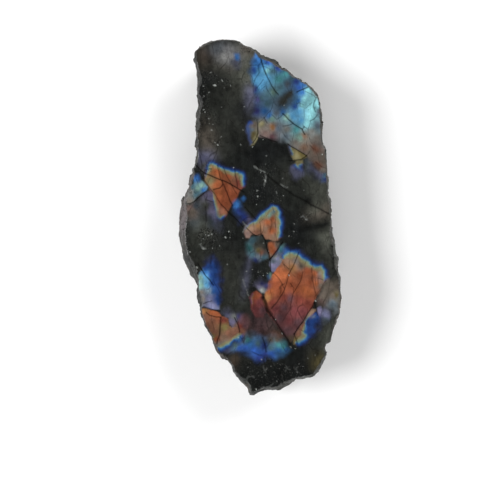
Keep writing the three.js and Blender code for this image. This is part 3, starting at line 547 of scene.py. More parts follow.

# Shallow pits in the face, the light ones coloured with a painted glint: middle, half length and half width
# in pixels, turn in degrees, and lightness, which is less than 0 for a dark pit
GLINTS_AND_PITS = [
    (214.6, 85.4, 2.2, 1.3, -15, 1), (210.6, 72.6, 1.3, 0.8, 20, 0.5), (222.2, 80.6, 2, 0.7, -50, 0.6),
    (230.5, 85.5, 1.8, 0.6, 90, 0.55), (208.7, 92.3, 1, 0.8, 0, 0.5), (204, 96, 1, 0.8, 0, 0.4),
    (203.5, 86, 1.2, 0.9, 0, 0.6), (224.5, 88, 1, 0.8, 0, 0.25), (244.5, 106.5, 1.2, 0.8, 0, 0.35),
    (221.5, 107, 0.9, 0.8, 0, 0.25), (203.7, 109.5, 1.3, 0.9, 20, 0.6), (205, 112, 1.4, 0.9, 60, 0.6),
    (208.7, 118.5, 1.1, 0.9, 0, 0.4), (209.5, 123.5, 1, 0.8, 0, 0.35), (212.7, 124.3, 1.1, 0.9, 0, 0.4),
    (212, 130, 1.8, 0.8, -45, 0.5), (197.2, 133.5, 1.4, 0.8, 0, 0.7), (215, 142.6, 1.8, 0.7, -30, 0.5),
    (217.8, 144.8, 1.4, 1, -50, 0.8), (221.5, 136.7, 1, 0.8, 0, 0.35), (243, 130, 1.2, 0.8, 0, 0.3),
    (241, 144.5, 1.5, 0.6, -45, 0.3), (252.5, 146.6, 0.9, 0.8, 0, 0.6), (233.4, 167.4, 1, 0.9, 0, 0.75),
    (207.6, 170.8, 1.4, 0.8, 80, 0.6), (205, 175.5, 1.3, 0.8, -45, 0.4), (264.8, 180.5, 3, 0.9, -58, 0.85),
    (257.3, 190.8, 1.6, 1, 40, 0.5), (257.7, 196.3, 1.3, 1, 70, 0.7), (276.5, 192.5, 2.2, 0.7, -75, 0.35),
    (283.5, 195.5, 1, 0.9, 0, 0.6), (266.5, 155.7, 1, 0.8, 60, 0.35), (265.6, 164, 1.1, 0.8, 0, 0.3),
    (260.6, 172.3, 1.3, 0.7, 70, 0.4), (263, 139.6, 0.9, 0.8, 0, 0.4), (322.5, 154.5, 0.9, 0.9, 0, 0.95),
    (304, 190, 0.9, 0.7, 0, 0.25), (282.6, 178.5, 0.9, 0.7, 0, 0.25), (256.5, 204.5, 0.9, 0.8, 0, 0.7),
    (208.5, 235.3, 1.4, 0.9, 0, 0.6), (211.6, 234.2, 1.3, 1, -50, 0.5), (205.4, 234.8, 1, 0.9, 0, 0.35),
    (203.4, 238.5, 1.1, 0.8, 20, 0.45), (228.6, 231.6, 1.1, 1, 0, 0.75), (225.6, 237.4, 1.6, 1, -55, 0.7),
    (230.2, 237.5, 0.9, 0.8, 0, 0.3), (203.2, 248.4, 2.4, 1.4, -20, 0.5), (201.2, 243.6, 1, 0.8, 0, 0.3),
    (219.5, 245.7, 0.9, 0.8, 80, 0.55), (212.6, 248, 1.1, 0.8, 80, 0.5), (190, 252, 1.4, 1, 0, 0.5),
    (197, 267.5, 1.5, 1, -50, 0.8), (196.7, 271, 1.2, 0.9, 90, 0.5), (227.4, 264.5, 1, 0.8, 0, 0.35),
    (246.5, 271.2, 1.4, 0.8, 20, 0.4), (252.6, 269.6, 0.9, 0.7, 0, 0.4), (306, 219.8, 2.2, 0.8, -25, 0.45),
    (302, 216.8, 1.6, 0.6, 20, 0.3), (294, 223.7, 1.2, 0.8, 0, 0.3), (294, 231.3, 1.2, 0.8, -20, 0.4),
    (289, 236, 1.1, 0.7, 60, 0.4), (298.5, 243.5, 0.9, 0.8, 0, 0.25), (263.4, 243.2, 1, 0.8, 0, 0.4),
    (268.5, 251.2, 0.9, 0.8, 0, 0.7), (258, 272, 1, 0.8, 0, 0.3), (263.5, 275.5, 1.1, 0.8, 0, 0.65),
    (267.5, 273.3, 0.9, 0.7, 0, 0.5), (289, 275.2, 1.2, 0.7, -40, 0.8), (315.8, 300.7, 1.6, 1.2, -60, 0.65),
    (275.6, 319.4, 0.9, 0.9, 0, 0.5), (282, 333.5, 2, 0.7, -55, 0.35), (238.5, 337.6, 1, 0.9, 0, 0.5),
    (261.5, 359.6, 1, 0.9, 0, 0.55), (256, 389.6, 1.8, 0.8, -50, 0.9), (259.6, 391.6, 1.7, 0.9, -60, 1),
    (277, 381.5, 1.6, 0.6, -65, 0.3), (248, 367.5, 1.4, 1.1, 60, 0.18), (265.5, 375, 1, 0.8, 0, 0.2),
    (315, 355, 1, 0.7, 0, 0.25), (308, 358.5, 1.1, 0.7, 0, 0.2), (332.5, 235, 1, 0.8, 0, 0.6),
    (333.5, 240, 1.6, 0.8, 80, 0.8), (337, 260, 1.3, 0.8, 80, 0.7), (337.5, 254, 1, 0.7, 70, 0.5),
    (243, 238, 0.9, 0.7, 0, 0.3), (247, 225, 1.5, 0.5, -30, 0.3), (290.5, 347, 2.2, 0.8, -40, 0.3),
    (295.5, 348.5, 1.2, 0.8, 0, 0.3), (286, 366, 1.4, 0.5, -60, 0.25), (299, 364, 1.4, 0.5, 30, 0.25),
    (303, 366.5, 1.4, 0.5, 0, 0.25), (240, 60, 2.2, 0.6, -50, -0.6), (247.7, 76, 1.4, 0.9, 70, -0.7),
    (246.8, 82, 1.2, 1, 0, -0.7), (249.3, 51.6, 1.3, 1.1, 0, -0.8), (226, 79.5, 3.4, 1.6, -20, -0.7),
    (332, 246, 1.8, 1.5, 0, -0.8), (284, 105.5, 1, 0.8, 0, 0.4),
]

# Scarred places where the polish missed the broken stone: middle, half width, half height, turn, amount
SCARS = [
    (207, 76, 9, 8, 20, 0.9), (222, 82, 12, 4, 0, 0.6), (202, 98, 7, 22, 0, 1), (210, 118, 8, 12, 0, 0.5),
    (200, 128, 4, 14, 0, 0.8), (216, 143, 10, 4, -30, 0.5), (265, 172, 12, 10, 40, 0.7),
    (257, 193, 9, 10, 0, 0.8), (276, 195, 8, 10, 0, 0.5), (208, 236, 14, 8, 0, 0.9),
    (228, 235, 8, 8, 0, 0.8), (212, 248, 12, 6, 0, 0.6), (303, 218, 12, 5, 15, 0.6),
    (291, 231, 8, 8, 0, 0.4), (252, 282, 4, 18, -12, 0.45), (262, 273, 10, 5, 0, 0.6),
    (272, 376, 40, 16, 0, 0.9), (240, 372, 8, 14, -30, 0.5), (334, 240, 4, 20, 0, 0.7),
    (248, 48, 8, 5, 30, 0.6), (192, 190, 4, 20, 20, 0.5), (186, 225, 4, 26, 0, 0.6),
    (205, 170, 8, 6, 30, 0.6),
]

# Light veins in the face: lightness and the pixels they run through
VEINS = [
    (0.15, [(239, 378), (243, 378.5), (247, 381), (249, 385), (250, 391)]),
    (0.12, [(248.5, 376), (246.5, 380)]),
    (0.14, [(268, 387), (271, 385.5), (273, 384)]),
    (0.12, [(286.5, 367), (288, 369), (290, 370)]),
    (0.12, [(249, 377), (252, 376), (254, 377)]),
    (0.1, [(263, 366), (265, 371), (267, 369)]),
    (0.12, [(296, 368), (297.5, 373)]),
    (0.12, [(285.5, 372), (286.5, 369)]),
    (0.15, [(283, 385), (288, 383.5), (292, 381)]),
    (0.3, [(254, 166), (257, 168.5), (261, 170.5), (265, 172)]),
    (0.25, [(265, 172), (266, 178), (264, 185)]),
    (0.25, [(281, 184.5), (287, 187.5)]),
    (0.25, [(243, 222), (246, 226), (243, 232)]),
    (0.2, [(243, 280), (246, 288), (248.5, 296)]),
    (0.22, [(200, 244), (202, 247), (206, 249)]),
    (0.2, [(301, 217), (303, 215.5), (305, 218), (308, 220)]),
]


# Colours and places

# The sRGB curve: the end and the slope of its straight part, and the offset and the power of the rest
SRGB_LIMIT = 0.04045
SRGB_SLOPE = 12.92
SRGB_OFFSET = 0.055
SRGB_POWER = 2.4
BRIGHTNESS_POWER = 2.2


def smoothstep(t):
    """A soft rise from 0 to 1 while t goes from 0 to 1."""
    t = np.clip(t, 0, 1)
    return t * t * (3 - 2 * t)


def linear(name, brightness=1.0):
    """The palette's colour as linear light."""
    srgb = np.array(PALETTE[name], float) / 255
    curved = ((srgb + SRGB_OFFSET) / (1 + SRGB_OFFSET)) ** SRGB_POWER
    light = np.where(srgb <= SRGB_LIMIT, srgb / SRGB_SLOPE, curved)
    return light * brightness ** BRIGHTNESS_POWER / STUDIO_LIGHT


def to_mm(pixels):
    """Points of the photograph as points of the face, in mm."""
    points = np.array(pixels, float)
    return (points - PHOTO_MIDDLE) * (MM_PER_PIXEL, -MM_PER_PIXEL)


def with_height(points, height=0.0):
    """Points of the face with a height, as the noises take them."""
    return np.column_stack([points, np.full(len(points), height)])


def vertex_points(mesh):
    """The places of the mesh's vertices, one a row."""
    points = np.empty(len(mesh.vertices) * 3)
    mesh.vertices.foreach_get("co", points)
    return points.reshape(-1, 3)


# Repeatable noise

# Odd whole numbers and shifts that mix a cell's place and its seed into random bits
CELL_WEIGHTS = [np.uint64(w) for w in (0x9E3779B185EBCA87, 0xC2B2AE3D27D4EB4F, 0x165667B19E3779F9)]
SEED_WEIGHT = 7919
MIX_WEIGHT = np.uint64(0xBF58476D1CE4E5B9)
MIX_SHIFTS = (np.uint64(29), np.uint64(32))
RANDOM_STEPS = 0x1000000


def cell_random(cells, seed):
    """Numbers from 0 to 1, one for each whole-number cell."""
    places = cells.astype(np.int64).astype(np.uint64)
    mixed = (places * CELL_WEIGHTS).sum(axis=1, dtype=np.uint64) + np.uint64(seed * SEED_WEIGHT + 1)
    mixed ^= mixed >> MIX_SHIFTS[0]
    mixed *= MIX_WEIGHT
    mixed ^= mixed >> MIX_SHIFTS[1]
    return (mixed % np.uint64(RANDOM_STEPS)).astype(float) / RANDOM_STEPS


def noise(points, size, seed):
    """Smooth noise from -1 to 1 at points in mm, with lumps of the given size."""
    scaled = points / size
    cell = np.floor(scaled)
    ease = smoothstep(scaled - cell)
    total = np.zeros(len(points))
    for corner in product((0, 1), repeat=3):
        corner = np.array(corner[::-1])
        weight = np.prod(np.where(corner, ease, 1 - ease), axis=1)
        total += weight * cell_random(cell + corner, seed)
    return 2 * total - 1


def fractal(points, size, octaves, seed):
    """Noise with finer and fainter noise on top, each octave half as large and half as strong."""
    total = sum(noise(points, size / 2 ** k, seed + k) / 2 ** k for k in range(octaves))
    return total / (2 - 2 ** (1 - octaves))


def drift(points, size, seeds, octaves=1):
    """Noise along and across the face, which moves its points about."""
    return np.stack([fractal(points, size, octaves, seed) for seed in seeds], axis=1)


def facets(points, size, depth, slope, seed):
    """Broken facets: each cell of the surface is a plane with a depth and a slope of its own."""
    scaled = points / size
    home = np.floor(scaled)
    nearest = np.full(len(points), np.inf)
    level = np.zeros(len(points))
    for step in product((-1, 0, 1), repeat=3):
        cell = home + step[::-1]
        random = np.stack([cell_random(cell, seed + k) for k in range(7)], axis=1)
        middle = random[:, :3]
        tilt = 2 * random[:, 3:6] - 1
        lift = 2 * random[:, 6] - 1
        away = scaled - cell - middle
        distance = np.linalg.norm(away, axis=1)
        plane = depth * lift + slope * size * (away * tilt).sum(axis=1)
        closer = distance < nearest
        nearest = np.where(closer, distance, nearest)
        level = np.where(closer, plane, level)
    return level


# Distances in the plane of the face

# The least squared length that a stretch is taken to have
TINY = 1e-12


def segment_distance(points, a, b):
    """The distance of each point from the stretch a to b, and how far along it the nearest place is."""
    along = b - a
    t = np.clip(((points - a) @ along) / max(along @ along, TINY), 0, 1)
    return np.linalg.norm(points - a - t[:, None] * along, axis=1), t


def line_distance(points, line):
    """The distance of each point from a line of points."""
    return np.min([segment_distance(points, a, b)[0] for a, b in zip(line, line[1:])], axis=0)


def loop_distance(points, loop):
    """The distance of each point from a closed loop of points."""
    return line_distance(points, np.vstack([loop, loop[:1]]))


def inside(points, loop):
    """True for each point that the closed loop goes round."""
    x, y = points.T
    hit = np.zeros(len(points), bool)
    for (x0, y0), (x1, y1) in zip(loop, np.roll(loop, -1, axis=0)):
        if y0 == y1:
            continue
        crosses = (y0 > y) != (y1 > y)
        hit ^= crosses & (x < x0 + (y - y0) * (x1 - x0) / (y1 - y0))
    return hit


def in_ellipse(points, x, y, half_width, half_height, turn):
    """Places along and across a turned ellipse of the photograph: 0 in its middle and 1 at its ends."""
    away = (points - to_mm((x, y))) / MM_PER_PIXEL
    c, s = math.cos(math.radians(turn)), math.sin(math.radians(turn))
    along = (away[:, 0] * c + away[:, 1] * s) / half_width
    across = (away[:, 1] * c - away[:, 0] * s) / half_height
    return along, across


def resampled(line, step):
    """The line with points every step or so."""
    out = [line[0]]
    for a, b in zip(line, line[1:]):
        count = max(1, round(np.linalg.norm(b - a) / step))
        out += [a + (b - a) * (k + 1) / count for k in range(count)]
    return np.array(out)


# The broken shell: the wall and the back

# Facets of the wall and steps of the back: their size and depth in mm, and their slope
BREAKS = (4.6, 0.3, 0.13)
SMALL_BREAKS = (1.9, 0.12, 0.12)
BACK_STEPS = (7.5, 0.8, 0.08)
SMALL_BACK_STEPS = (1.7, 0.12, 0.1)

# How the small breaks and the small steps of the back are squeezed along each axis
SMALL_BREAK_SCALE = (1, 1, 1.5)
SMALL_STEP_SCALE = (1, 0.6, 0)

# How far under the face the breaks begin, and the height over which they grow to their full depth, in mm
BREAK_START = 0.4
BREAK_GROWTH = 2.5
SMALL_BREAK_GROWTH = 0.3

# Ledges across the wall: the direction they climb in, and their spacing, depth and bends in mm.
# A ledge's depth grows as this power of the way from one ledge to the next.
LEDGE_CLIMB = (0.25, -0.35, 0.9)
LEDGE_SPACING = 1.35
LEDGE_DEPTH = 0.22
LEDGE_POWER = 3
LEDGE_WANDER = 0.8
LEDGE_WANDER_SIZE = 5.5
LEDGE_PATCH_SIZE = 8
LEDGE_PATCH_SHARE = 0.5

# Grains of the wall, how far the whole wall draws in, and how the back's steps bend and go in, all in mm
GRAIN_SIZE = 0.9
GRAIN_DEPTH = 0.09
WALL_INSET = 0.05
BACK_BEND = 0.5
BACK_BEND_SIZE = 3
SMALL_STEP_INSET = 0.02

# The back is where the surface faces down more than this, below this height in mm, with soft limits
BACK_FACING = 0.9
BACK_FACING_SOFTNESS = 0.08
BACK_HEIGHT = 0.25
BACK_HEIGHT_SOFTNESS = 0.1

# The cut takes points this near its plane as lying in it, in mm
CUT_PRECISION = 1e-4


def even_shell():
    """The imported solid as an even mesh, in mm."""
    source = bpy.data.objects.new("shell_source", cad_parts[NODE].data.copy())
    bpy.context.scene.collection.objects.link(source)
    source.data.transform(Matrix.Scale(1 / MM, 4))
    remesh = source.modifiers.new("even", "REMESH")
    remesh.mode = "VOXEL"
    remesh.voxel_size = SHELL_VOXEL
    bpy.context.view_layer.update()
    mesh = bpy.data.meshes.new_from_object(source.evaluated_get(bpy.context.evaluated_depsgraph_get()))
    bpy.data.objects.remove(source)
    return mesh


def wall_breaks(points):
    """How far in the wall's facets, ledges and grains go at each point, in mm."""
    below = FACE_HEIGHT - points[:, 2]
    deep = smoothstep((below - BREAK_START) / BREAK_GROWTH)
    shallow = smoothstep(below / SMALL_BREAK_GROWTH)
    broken = facets(points, *BREAKS, seed=SEEDS["breaks"]) * deep
    broken += facets(points * SMALL_BREAK_SCALE, *SMALL_BREAKS, seed=SEEDS["small breaks"]) * shallow
    wander = LEDGE_WANDER * noise(points, LEDGE_WANDER_SIZE, seed=SEEDS["ledge wander"])
    ledge = (points @ LEDGE_CLIMB) / LEDGE_SPACING + wander
    saw = (ledge - np.floor(ledge)) ** LEDGE_POWER
    patches = smoothstep(noise(points, LEDGE_PATCH_SIZE, seed=SEEDS["ledge patches"]) + LEDGE_PATCH_SHARE)
    broken += LEDGE_DEPTH * (saw - 1 / (LEDGE_POWER + 1)) * patches * deep
    broken += GRAIN_DEPTH * fractal(points, GRAIN_SIZE, octaves=2, seed=SEEDS["grains"]) * shallow
    return broken


def back_steps(points):
    """How far in the broken steps of the back go at each point, in mm."""
    level = points * (1, 1, 0)
    bend = fractal(level, BACK_BEND_SIZE, octaves=2, seed=SEEDS["back bend"])
    steps = np.maximum(0, facets(level + BACK_BEND * bend[:, None], *BACK_STEPS, seed=SEEDS["back steps"]))
    small = facets(level * SMALL_STEP_SCALE, *SMALL_BACK_STEPS, seed=SEEDS["small back steps"])
    return steps + np.maximum(0, small + SMALL_STEP_INSET)


def roughen(mesh):
    """Breaks the surface of the even mesh. The back stays level where no step goes in."""
    points = vertex_points(mesh)
    normals = np.array([v.normal for v in mesh.vertices])
    back = smoothstep((-normals[:, 2] - BACK_FACING) / BACK_FACING_SOFTNESS)
    back *= smoothstep((BACK_HEIGHT - points[:, 2]) / BACK_HEIGHT_SOFTNESS)
    broken = wall_breaks(points)
    under = np.abs(broken) * (1 - back) + back_steps(points) * back
    inward = np.where(back > 0, under, broken + WALL_INSET)
    points = points - normals * inward[:, None]
    points[:, 2] = np.maximum(points[:, 2], 0)
    mesh.vertices.foreach_set("co", points.ravel())
    mesh.update()


def boundary_loops(shell):
    """The shell's open edges as loops of vertices in order, the longest last."""
    loops = []
    boundary = [e for e in shell.edges if e.is_boundary]
    unused = set(boundary)
    for edge in boundary:
        if edge not in unused:
            continue
        unused.discard(edge)
        loop = [edge.verts[0], edge.verts[1]]
        while loop[-1] is not loop[0]:
            following = [e for e in loop[-1].link_edges if e in unused]
            if not following:
                break
            unused.discard(following[0])
            loop.append(following[0].other_vert(loop[-1]))
        loops.append(loop[:-1] if loop[-1] is loop[0] else loop)
    return sorted(loops, key=len)


def open_top(mesh):
    """Cuts the shell open just under the polished face and fills its small holes. Also gives its rim."""
    shell = bmesh.new()
    shell.from_mesh(mesh)
    everything = shell.verts[:] + shell.edges[:] + shell.faces[:]
    level = (0, 0, FACE_HEIGHT - CUT_BELOW_FACE)
    bmesh.ops.bisect_plane(
        shell, geom=everything, dist=CUT_PRECISION, plane_co=level, plane_no=(0, 0, 1), clear_outer=True
    )
    rim = [v for v in shell.verts if v.is_boundary]
    bmesh.ops.remove_doubles(shell, verts=rim, dist=LOOP_WELD)
    loops = boundary_loops(shell)
    for loop in loops[:-1]:
        if len(loop) > 2:
            bmesh.ops.contextual_create(shell, geom=loop)
    return shell, loops[-1]


# The polished face: its mesh

# The face's points keep these distances from its rim, from the cracks and from each other, in mm.
# Its rows are as far apart as a triangle with equal sides is high.
GRID_RIM_GAP = 0.6 * FACE_SPACING
DETAIL_RIM_GAP = 0.3 * FACE_SPACING
CRACK_GAP = 0.17
DETAIL_GAP = 0.12
ROW_SPACING = FACE_SPACING * math.sqrt(0.75)

# A crack's line: the spacing of its points, its bends and its noise's distance from the next crack's, in mm.
# The last value makes it darker than its row in the table says.
CRACK_STEP = 0.3
CRACK_WANDER = 0.09
CRACK_WANDER_SIZE = 1.1
CRACK_NOISE_SPACING = 7.0
CRACK_DARKENING = 1.15

# Rings of points in each pit, light or dark: their share of its size, and how many points they have
FLECK_RINGS = [(0, 1), (0.55, 6), (1.05, 10)]

# How the face is divided into triangles: only inside its rim, with points this near taken as one, in mm
INSIDE_ONLY = 1
WELD = 1e-5


def crack_lines():
    """Each crack as its half width in mm, its darkness and a slightly wandering line in mm."""
    lines = []
    for n, (half_width, darkness, pixels) in enumerate(CRACKS):
        line = resampled(to_mm(pixels), CRACK_STEP)
        place = with_height(line, CRACK_NOISE_SPACING * n)
        wander = CRACK_WANDER * drift(place, CRACK_WANDER_SIZE, SEEDS["crack wander"])
        lines.append((half_width * MM_PER_PIXEL, min(1, darkness * CRACK_DARKENING), line + wander))
    return lines


def crack_sides(half_width, line):
    """Points on both sides of a crack, where its groove comes up to the face."""
    along = np.gradient(line, axis=0)
    along /= np.linalg.norm(along, axis=1)[:, None]
    across = np.column_stack([-along[:, 1], along[:, 0]]) * half_width
    return np.vstack([line + across, line - across])


def glint_and_pit_rings():
    """Points at the middle and round the edge of each pit, light or dark, so that it comes out crisp."""
    out = []
    for x, y, half_length, half_width, turn, _ in GLINTS_AND_PITS:
        c, s = math.cos(math.radians(turn)), math.sin(math.radians(turn))
        for share, count in FLECK_RINGS:
            for k in range(count):
                angle = 2 * math.pi * k / count
                u, v = share * half_length * math.cos(angle), share * half_width * math.sin(angle)
                out.append(to_mm((x, y)) + MM_PER_PIXEL * np.array([u * c - v * s, u * s + v * c]))
    return np.array(out)


def grid_points(rim, cracks):
    """Places for the face's vertices: an even jittered grid, kept clear of the rim and the cracks."""
    low_corner, high_corner = rim.min(axis=0), rim.max(axis=0)
    rows = np.arange(low_corner[1], high_corner[1], ROW_SPACING)
    columns = np.arange(low_corner[0], high_corner[0], FACE_SPACING)
    grid = np.array([(x + FACE_SPACING / 2 * (j % 2), y) for j, y in enumerate(rows) for x in columns])
    cells = np.stack([np.arange(len(grid)), np.zeros(len(grid)), np.zeros(len(grid))], axis=1)
    shake = np.stack([cell_random(cells, seed) for seed in SEEDS["face jitter"]], axis=1) * 2 - 1
    grid = grid + FACE_JITTER * shake
    grid = grid[inside(grid, rim)]
    keep = loop_distance(grid, rim) > GRID_RIM_GAP
    for half_width, _, line in cracks:
        keep &= line_distance(grid, line) > max(CRACK_GAP, half_width)
    return grid[keep]


def thinned(points, fixed):
    """The points that stay clear of the fixed ones."""
    taken = {tuple(np.floor(p / DETAIL_GAP).astype(int)) for p in fixed}
    cells = np.floor(points / DETAIL_GAP).astype(int)
    return points[[tuple(c) not in taken for c in cells]]


def triangulate(rim, cracks):
    """Divides the face into triangles, with an edge along each crack. Also gives its corners' origins."""
    details = np.vstack([crack_sides(half_width, line) for half_width, _, line in cracks] + [glint_and_pit_rings()])
    clear = loop_distance(details, rim) > DETAIL_RIM_GAP
    details = details[inside(details, rim) & clear]
    coordinates = [rim, details, thinned(grid_points(rim, cracks), details)]
    start = sum(len(c) for c in coordinates)
    edges = []
    for _, _, line in cracks:
        kept = inside(line, rim) & (loop_distance(line, rim) > DETAIL_RIM_GAP)
        coordinates.append(line)
        edges += [(start + k, start + k + 1) for k in range(len(line) - 1) if kept[k] and kept[k + 1]]
        start += len(line)
    points = [Vector(p) for p in np.vstack(coordinates)]
    outline = list(range(len(rim)))
    corners, _, triangles, origins, _, _ = delaunay_2d_cdt(points, edges, [outline], INSIDE_ONLY, WELD)
    return np.array([tuple(c) for c in corners]), triangles, origins


# The polished face: its wear and its height

# The worn rim of the face: its least width and how much the chips widen it, in mm, and the chips' sizes
RIM_LEAST = 0.12
RIM_CHIP_WIDTH = 0.5
CHIP_SIZE = 2.1
CHIP_STRENGTH = 0.9
CHIP_SHARE = 0.1
SMALL_CHIP_SIZE = 0.8
SMALL_CHIP_STRENGTH = 0.5

# How crisp a crack's side is, and how much wider than its half width it shows
CRACK_CRISPNESS = 1.8
CRACK_REACH = 1.12

# Pits, light and dark: the bends of their outlines in mm, and their strength, crispness and reach.
# A vein's half width is in pixels.
FLECK_WANDER = 0.1
FLECK_WANDER_SIZE = 0.33
FLECK_STRENGTH = 0.85
FLECK_CRISPNESS = 1.7
FLECK_REACH = 0.9
VEIN_HALF_WIDTH = 0.9

# Scars: the size of their patches in mm, and how far they reach
SCAR_PATCH_SIZE = 1.6
SCAR_REACH = 1.4

# Waves from polishing: their size and height in mm. The grain of the worn rim is given in the same way.
LONG_WAVES = (9, 0.05)
SHORT_WAVES = (2.5, 0.012)
RIM_GRAIN = (0.55, 0.05)

# How deep the marks in the face go, in mm, and how the scars' roughness is spread
CRACK_DEPTH = 0.02
PIT_DEPTH = 0.04
SCAR_DEPTH = 0.04
SCAR_GRAIN_SIZE = 0.8
SCAR_GRAIN_SHARE = 0.15


def rim_width(points):
    """How wide the broken edge of the face is at each point, in mm."""
    flat = with_height(points)
    chips = smoothstep(noise(flat, CHIP_SIZE, seed=SEEDS["chips"]) * CHIP_STRENGTH + CHIP_SHARE)
    small_chips = smoothstep(noise(flat, SMALL_CHIP_SIZE, seed=SEEDS["small chips"]))
    return RIM_LEAST + RIM_CHIP_WIDTH * (chips + SMALL_CHIP_STRENGTH * small_chips)


def crack_amount(points, cracks):
    """How deep in a crack each point is, from 0 to 1, and how dark it is there."""
    amount = np.zeros(len(points))
    dark = np.zeros(len(points))
    for half_width, darkness, line in cracks:
        away = line_distance(points, line) / (CRACK_REACH * half_width)
        near = np.clip(CRACK_CRISPNESS * (1 - away), 0, 1)
        amount = np.maximum(amount, near)
        dark = np.maximum(dark, darkness * near)
    return amount, dark


def glint_and_pit_amount(points):
    """How light, or if less than 0 how dark, each point is made by the pits and veins. A light pit's
    lightness is a painted glint.
    """
    amount = np.zeros(len(points))
    moved = points + FLECK_WANDER * drift(with_height(points), FLECK_WANDER_SIZE, SEEDS["fleck wander"])
    for *ellipse, lightness in GLINTS_AND_PITS:
        away = np.hypot(*in_ellipse(moved, *ellipse))
        near = FLECK_STRENGTH * lightness * smoothstep(FLECK_CRISPNESS * (FLECK_REACH - away))
        amount = np.where(np.abs(near) > np.abs(amount), near, amount)
    for lightness, pixels in VEINS:
        away = line_distance(moved, to_mm(pixels)) / (VEIN_HALF_WIDTH * MM_PER_PIXEL)
        near = lightness * np.clip(1 - away, 0, 1)
        amount = np.where(near > np.abs(amount), near, amount)
    return amount


def scar_amount(points):
    """How scarred the face is at each point."""
    amount = np.zeros(len(points))
    patchy = fractal(with_height(points), SCAR_PATCH_SIZE, octaves=3, seed=SEEDS["scar places"])
    for *ellipse, strength in SCARS:
        u, v = in_ellipse(points, *ellipse)
        amount = np.maximum(amount, strength * smoothstep(SCAR_REACH - u * u - v * v + patchy))
    return amount


def waves(points, shape, seed):
    """A wavy height in mm, of a size and a height in mm."""
    size, height = shape
    return height * noise(points, size, seed=seed)


def face_height(corners, rim, cracks):
    """The height of each corner of the face: gentle waves, marks cut into it and a worn rim."""
    flat = with_height(corners)
    whole = smoothstep(loop_distance(corners, rim) / rim_width(corners))
    level = waves(flat, LONG_WAVES, SEEDS["long waves"]) + waves(flat, SHORT_WAVES, SEEDS["short waves"])
    grain = waves(flat, RIM_GRAIN, SEEDS["rim grain"]) * (1 - whole)
    height = FACE_HEIGHT - CUT_BELOW_FACE * (1 - whole) + (level - LONG_WAVES[1]) * whole + grain
    deep, _ = crack_amount(corners, cracks)
    glints_and_pits = np.abs(glint_and_pit_amount(corners))
    scars = scar_amount(corners)
    rough = np.maximum(0, fractal(flat, SCAR_GRAIN_SIZE, 3, SEEDS["scar depth"]) + SCAR_GRAIN_SHARE)
    return height - (CRACK_DEPTH * deep + PIT_DEPTH * glints_and_pits + SCAR_DEPTH * scars * rough) * whole


# The colours of the face and the wall

# The colours across a patch's edge, from -1 outside it to 1 inside it, where its own fill takes over
EDGE_RUNS = {
    "warm": [
        (-1, "indigo"), (-0.5, "deep"), (-0.2, "royal"), (0.02, "azure"), (0.2, "seafoam"), (0.4, "straw"),
    ],
    "cool": [(-1, "indigo"), (-0.5, "deep"), (-0.1, "royal")],
}
EDGE_BRIGHTNESS = 0.78

# An edge as narrow as the first, in pixels, is a crack's and shows no run of colours.
# One as wide as the second shows all of it.
SHARP_EDGE = 1.9
SOFT_EDGE = 2.9

# How quickly a patch comes up across its edge: one with a run of colours, and a plain one
RUN_RISE = 1.2
PLAIN_RISE = 1.8

# The patches' bends in mm, how much their edges' width swells, and how ragged their edges and fills are
PATCH_WANDER = 0.42
PATCH_WANDER_SIZE = 2.2
SWELL_LEAST = 0.6
SWELL = 0.6
SWELL_SIZE = 4.5
RAGGEDNESS = 0.3
RAGGED_SIZE = 1.3

# A fill point's weight falls with this power of the distance, and levels off this near it, in pixels
FILL_POWER = 3
FILL_LEVEL = 0.8

# The clouds' bends in mm, and how quickly a cloud thins out from its middle
CLOUD_WANDER = 0.6
CLOUD_WANDER_SIZE = 3.5
CLOUD_THINNING = 1.1

# The wall's ground colour, and how its clouds fade out down the wall, in mm
WALL_GROUND = "dimgrey"
WALL_CLOUD_DEPTH = 10.0
WALL_FADE_NOISE = 0.35
WALL_FADE_SIZE = 3.5

# The face is all that lies above this share of the cut's depth. Over its worn rim the polish rises this
# steeply, less where it starts.
FACE_CUT_SHARE = 1.02
POLISH_RISE = 1.3
POLISH_START = 0.3


def mixed(colour, other, share):
    """The colour with a share of another one at each point."""
    return colour * (1 - share)[:, None] + other * share[:, None]


def cloud_colour(points, ground, clouds):
    """The ground colour with soft clouds of other colours in it. Also gives how much of it is clouds."""
    colour = np.tile(linear(ground), (len(points), 1))
    bare = np.ones(len(points))
    moved = points + CLOUD_WANDER * drift(with_height(points), CLOUD_WANDER_SIZE, SEEDS["cloud wander"])
    for *ellipse, name, amount in clouds:
        u, v = in_ellipse(moved, *ellipse)
        share = amount * np.exp(-CLOUD_THINNING * (u * u + v * v))
        colour = mixed(colour, linear(name), share)
        bare *= 1 - share
    return colour, 1 - bare


def wall_colour(points):
    """The colour of the broken wall at each point, and how much of it is stained by clouds."""
    wall, stained = cloud_colour(points[:, :2], WALL_GROUND, WALL_CLOUDS)
    ragged = WALL_FADE_NOISE * fractal(points, WALL_FADE_SIZE, octaves=3, seed=SEEDS["wall fade"])
    near_face = smoothstep((points[:, 2] - FACE_HEIGHT) / WALL_CLOUD_DEPTH + ragged + 1)
    return mixed(linear(WALL_GROUND), wall, near_face), stained * near_face


def patch_fill(points, fill):
    """The patch's own colour: its fill points, each weighed by how near it is."""
    total = np.zeros(len(points))
    colour = np.zeros((len(points), 3))
    for x, y, name, brightness in fill:
        away = np.linalg.norm(points - to_mm((x, y)), axis=1) / MM_PER_PIXEL
        weight = 1 / (away + FILL_LEVEL) ** FILL_POWER
        total += weight
        colour += weight[:, None] * linear(name, brightness)
    return colour / total[:, None]


